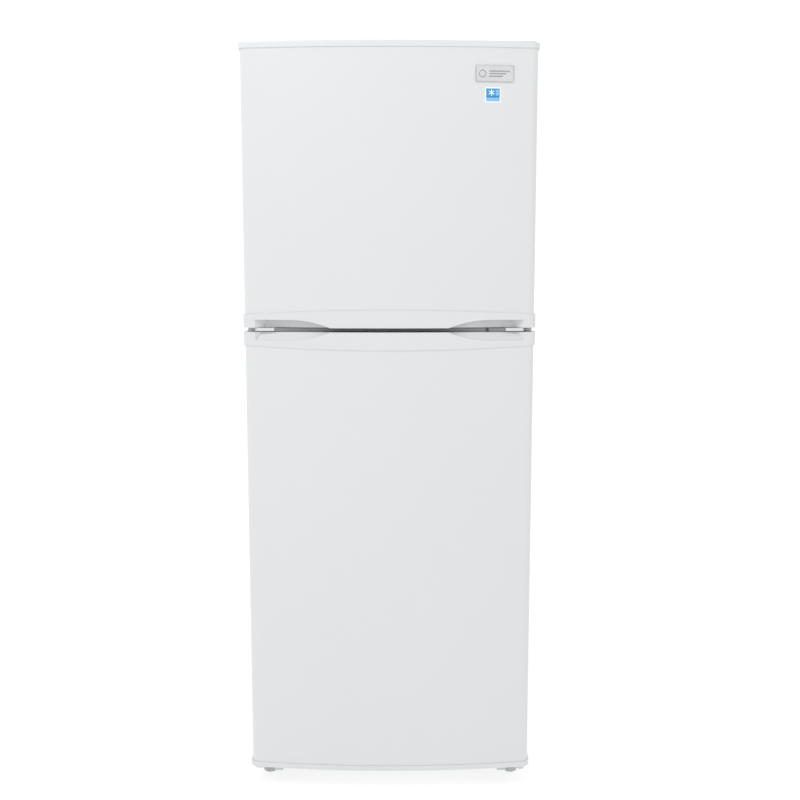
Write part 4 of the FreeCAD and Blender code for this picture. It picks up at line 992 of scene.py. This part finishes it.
def control_details():
    """Scale marks round the knob, ribs on the housing and its two screws."""
    low, high = corners_of("control_housing")
    centre = Vector((KNOB_X * MM, low.y + 0.1 * MM, KNOB_Z * MM))
    first_angle, step = 225, 45
    mark_start = 16.6 * MM
    bm = bmesh.new()
    for index in range(7):
        angle = math.radians(first_angle - step * index)
        outward = Vector((math.cos(angle), 0, math.sin(angle)))
        start = centre + outward * mark_start
        add_tube(bm, start, start + outward * (2.0 + 0.35 * index) * MM, 0.55 * MM, 8)
    piece("dial_marks", bm, "cabinet", "grey_plastic", ["screw_dark"])

    proud, rib_half = 0.6 * MM, 1 * MM
    bm = bmesh.new()
    for z in spaced(low.z + 8 * MM, high.z - 10 * MM, 6):
        add_box(bm, (0, low.y - proud, z - rib_half), (78 * MM, low.y + proud, z + rib_half), 0.4 * MM, 2)
    piece("housing_ribs", bm, "cabinet", "white_plastic")

    bm = bmesh.new()
    for x in (-78 * MM, 78 * MM):
        add_screw(bm, (x, 8 * MM, low.z), DOWNWARD, 3.6 * MM, 2 * MM)
    piece("housing_screws", bm, "cabinet", "zinc_steel")


def knob():
    """A fluted thermostat knob with a grip bar, a pointer and its stem."""
    low, high = corners_of("thermostat_knob")
    x, z = KNOB_X * MM, KNOB_Z * MM
    face = -148 * MM
    depth = high.y - face
    back = depth - 9 * MM
    stem, skirt = 3 * MM, 15 * MM

    def flutes(angle):
        return skirt - 0.7 * MM * (0.5 + 0.5 * math.cos(24 * angle))

    profile = [
        (0, 0), (stem, 0), (stem, back), (12 * MM, back), (14.6 * MM, back), (flutes, depth - 8.4 * MM),
        (flutes, depth - 2.2 * MM), (13.4 * MM, depth - 0.6 * MM), (12.4 * MM, depth - 0.1 * MM),
        (11 * MM, depth - 1.2 * MM), (0, depth - 1.2 * MM),
    ]
    bm = bmesh.new()
    add_turned(bm, profile, facing((x, high.y, z), FORWARD), steps=192)
    bar_half, bar_reach, pointer_half = 2.6 * MM, 11 * MM, 0.7 * MM
    bar_start = (x - bar_half, face - 1.4 * MM, z - bar_reach)
    add_box(bm, bar_start, (x + bar_half, face + 2 * MM, z + bar_reach), 1.2 * MM)
    pointer_start = (x - pointer_half, low.y, z + 3 * MM)
    pointer_end = (x + pointer_half, face - 1 * MM, z + 10.4 * MM)
    add_box(bm, pointer_start, pointer_end, 0.2 * MM, 1, material=1)
    made = piece("knob", bm, "thermostat_knob", "knob_plastic", ["knob_plastic", "label_blue"], smooth=35.0)
    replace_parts(made, "thermostat_knob")


def add_fan_blade(bm, base, root, reach, middle_y, middle_z):
    """One curved and twisted blade, thinner towards its edges. It starts at an angle about Y."""
    rows, columns = 8, 8
    thick = 0.6 * MM
    twist, sweep = 9.5 * MM, 0.25
    grids = []
    for side in (-1, 1):
        grid = []
        for row in range(rows + 1):
            out = row / rows
            radius = root + (reach - root) * out
            widen = 0.42 + 0.1 * math.sin(math.pi * out)
            line = []
            for column in range(columns + 1):
                along = column / columns - 0.5
                angle = base + 2 * widen * along + sweep * out
                rise = twist * along * (1.1 - 0.35 * out) + 1.5 * MM * (0.25 - along * along)
                y = middle_y + rise + side * thick * (1 - 0.6 * abs(2 * along) ** 2)
                place = (radius * math.cos(angle), y, middle_z + radius * math.sin(angle))
                line.append(bm.verts.new(place))
            grid.append(line)
        grids.append(grid)
    for grid in grids:
        for row in range(rows):
            for column in range(columns):
                first, second = grid[row], grid[row + 1]
                bm.faces.new([first[column], first[column + 1], second[column + 1], second[column]])
    border = [(0, c) for c in range(columns)] + [(r, columns) for r in range(rows)]
    border += [(rows, c) for c in range(columns, 0, -1)] + [(r, 0) for r in range(rows, 0, -1)]
    for (row, column), (next_row, next_column) in zip(border, border[1:] + border[:1]):
        bm.faces.new([grids[0][row][column], grids[0][next_row][next_column],
                      grids[1][next_row][next_column], grids[1][row][column]])


def fan():
    """The evaporator fan: a bored hub with five blades."""
    back = corners_of("evaporator_fan")[1].y
    front = back - 193 * MM
    bore, hub, blades = 2.08 * MM, 12 * MM, 5
    profile = [
        (0, 16 * MM), (bore, 16 * MM), (bore, 12 * MM), (hub, 12 * MM), (12.4 * MM, 14 * MM),
        (hub, front - 2.5 * MM), (9.5 * MM, front), (0, front),
    ]
    bm = bmesh.new()
    add_turned(bm, profile, facing((0, back, FAN_Z * MM), FORWARD), steps=48)
    for blade in range(blades):
        add_fan_blade(bm, 2 * math.pi * blade / blades, 11 * MM, 45 * MM, 206.5 * MM, FAN_Z * MM)
    made = piece("fan", bm, "evaporator_fan", "white_plastic", smooth=50.0)
    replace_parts(made, "evaporator_fan")


def freezer_wall_details():
    """A rim round the fan's grille, screw caps and pressed panels on the freezer's rear cover."""
    front = corners_of("evaporator_cover")[0].y
    rim = mm([
        (49, -0.5), (49, 1.6), (50.5, 2.4), (53.5, 2.2), (55, 0.8), (55.4, -0.5), (49, -0.5),
    ])
    cap = mm([(0, 0), (6, 0), (5.6, 1.4), (4.6, 1.9), (0, 2.1)])
    bm = bmesh.new()
    add_turned(bm, rim, facing((0, front, FAN_Z * MM), FORWARD), steps=96)
    close_seams(bm)
    for x in (-196 * MM, 196 * MM):
        for z in (960 * MM, 1330 * MM):
            add_turned(bm, cap, facing((x, front, z), FORWARD), steps=36)
    half = 2.5 * MM
    for side in (-1, 1):
        ends = sorted((side * 70 * MM, side * 190 * MM))
        for z in spaced(1166 * MM, 1222 * MM, 5):
            panel = round_plate(ends, (z - half, z + half), 2.4 * MM)
            add_slab(bm, panel, front + 0.2 * MM, front - 1.3 * MM, radius=0.9 * MM)
    piece("freezer_wall_trim", bm, "cabinet", "white_plastic")


def lamp():
    """The lamp: a glass bulb on a threaded metal base in a black holder."""
    place = facing((corners_of("lamp_bulb")[0].x, LAMP_Y * MM, LAMP_Z * MM), RIGHTWARD)
    glass = mm([
        (0, 13), (6.2, 13.5), (8, 21), (11, 30), (12, 37), (11.2, 42.5), (8.5, 47), (4.5, 49.4), (0, 50),
    ])
    start, end = 3 * MM, 13.6 * MM
    base = [(0, start), *thread(start, end, 6.5 * MM, 2.1 * MM), (0, end)]
    holder = mm([(0, 0), (5, 0), (6, 1), (6, 3), (0, 3)])
    bm = bmesh.new()
    add_turned(bm, glass, place, steps=48)
    add_turned(bm, base, place, steps=40, material=1)
    add_turned(bm, holder, place, steps=40, material=2)
    made = piece("bulb", bm, "cabinet", "lamp_glass", ["lamp_glass", "zinc_steel", "black_plastic"])
    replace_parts(made, "lamp_bulb")


# ---- scene ----

SENSOR = 36.0
FOCAL_IN_IMAGE_WIDTHS = 1.35725
CAMERA_AT = (19.7 * MM, FACE - 2.0, 1039 * MM)
CAMERA_PITCH = math.radians(7.58)

SKY_IN_FRONT = 0.72
SKY_BEHIND = 1.04
SKY_BLEND = 0.3
FLOOR_GLOW = 0.74
KEY_AT, KEY_TARGET = (-0.9, -2.2, 3.2), (0, -0.2, 1.1)
KEY_SIZE, KEY_POWER = 1.4, 30

# The radius in millimetres of the softened edges on moulded and pressed CAD nodes.
SOFT_EDGES = {
    "top_hinge": 0.5, "middle_hinge": 0.4, "bottom_hinge": 0.4, "left_foot_bracket": 0.4,
    "top_hinge_cover": 0.6, "hinge_hole_plugs": 0.4, "relay_cover": 0.8, "compressor_base": 0.3,
    "condenser_brackets": 0.6, "drain_pan": 0.5, "control_housing": 0.6, "fan_motor": 0.5,
    "cord_gland": 0.4, "crisper_cover": 0.6, "glass_shelves": 0.6,
}


def dress_cad():
    """Every CAD node gets its slot's material, and the moulded and pressed ones get softened edges."""
    slots = {entry["node"]: entry["material_slot"] for entry in frame["record"]["subparts"]}
    for name, obj in NODES.items():
        obj.data.materials.clear()
        obj.data.materials.append(PALETTE[slots[name]])
        if name in SOFT_EDGES:
            add_bevel(obj, SOFT_EDGES[name] * MM)


def add_camera():
    """A camera in front of the doors, a little over a metre up and looking slightly down."""
    data = bpy.data.cameras.new("camera")
    data.sensor_width = SENSOR
    data.lens = SENSOR * FOCAL_IN_IMAGE_WIDTHS
    camera = bpy.data.objects.new("camera", data)
    camera.location = CAMERA_AT
    camera.rotation_euler = (math.pi / 2 - CAMERA_PITCH, 0.0, 0.0)
    bpy.context.scene.collection.objects.link(camera)
    bpy.context.scene.camera = camera


def add_area(name, place, target, size, power):
    data = bpy.data.lights.new(name, "AREA")
    data.shape = "RECTANGLE"
    data.size = data.size_y = size
    data.energy = power
    light = bpy.data.objects.new(name, data)
    light.location = place
    light.rotation_euler = (Vector(target) - Vector(place)).to_track_quat("-Z", "Y").to_euler()
    bpy.context.scene.collection.objects.link(light)


def studio_sky():
    """A white room: brightest behind the object, and a little dimmer in front of it."""
    world = bpy.data.worlds.new("studio")
    world.use_nodes = True
    tree = world.node_tree
    coords = tree.nodes.new("ShaderNodeTexCoord")
    split = tree.nodes.new("ShaderNodeSeparateXYZ")
    tree.links.new(coords.outputs["Generated"], split.inputs["Vector"])
    level = tree.nodes.new("ShaderNodeMapRange")
    level.inputs["From Min"].default_value = -SKY_BLEND
    level.inputs["From Max"].default_value = SKY_BLEND
    level.inputs["To Min"].default_value = SKY_IN_FRONT
    level.inputs["To Max"].default_value = SKY_BEHIND
    tree.links.new(split.outputs["Y"], level.inputs["Value"])
    background = tree.nodes["Background"]
    background.inputs["Color"].default_value = (1.0, 1.0, 1.0, 1)
    tree.links.new(level.outputs["Result"], background.inputs["Strength"])
    bpy.context.scene.world = world


def studio_floor():
    """A large pale floor that glows a little, like a lit table, so that shadows on it stay faint."""
    bm = bmesh.new()
    bmesh.ops.create_grid(bm, x_segments=8, y_segments=8, size=30.0)
    mesh = bpy.data.meshes.new("floor")
    bm.to_mesh(mesh)
    bm.free()
    floor = bpy.data.objects.new("floor", mesh)
    bpy.context.scene.collection.objects.link(floor)
    made = surface(
        "floor", (0.33, 0.33, 0.33), (0.35, 0.35, 0.35), (0.8, 0.9), 90.0, 0.0001, tone_scale=0.6,
        Emission_Color=(1, 1, 1, 1), Emission_Strength=FLOOR_GLOW,
    )
    mesh.materials.append(made)


def add_studio():
    bpy.context.scene.view_settings.view_transform = "Standard"
    studio_sky()
    studio_floor()
    add_area("key", KEY_AT, KEY_TARGET, KEY_SIZE, KEY_POWER)


badge()
efficiency_sticker()
gap_shade_strip()
door_gaskets()
door_inner_details()
cap_covers()
screws()
levelling_feet()
rear_rollers()
condenser_wires()
rear_panel_details()
compressor_details()
shelf_trims()
air_duct()
drawer_details()
control_details()
knob()
fan()
freezer_wall_details()
lamp()
dress_cad()
add_camera()
add_studio()
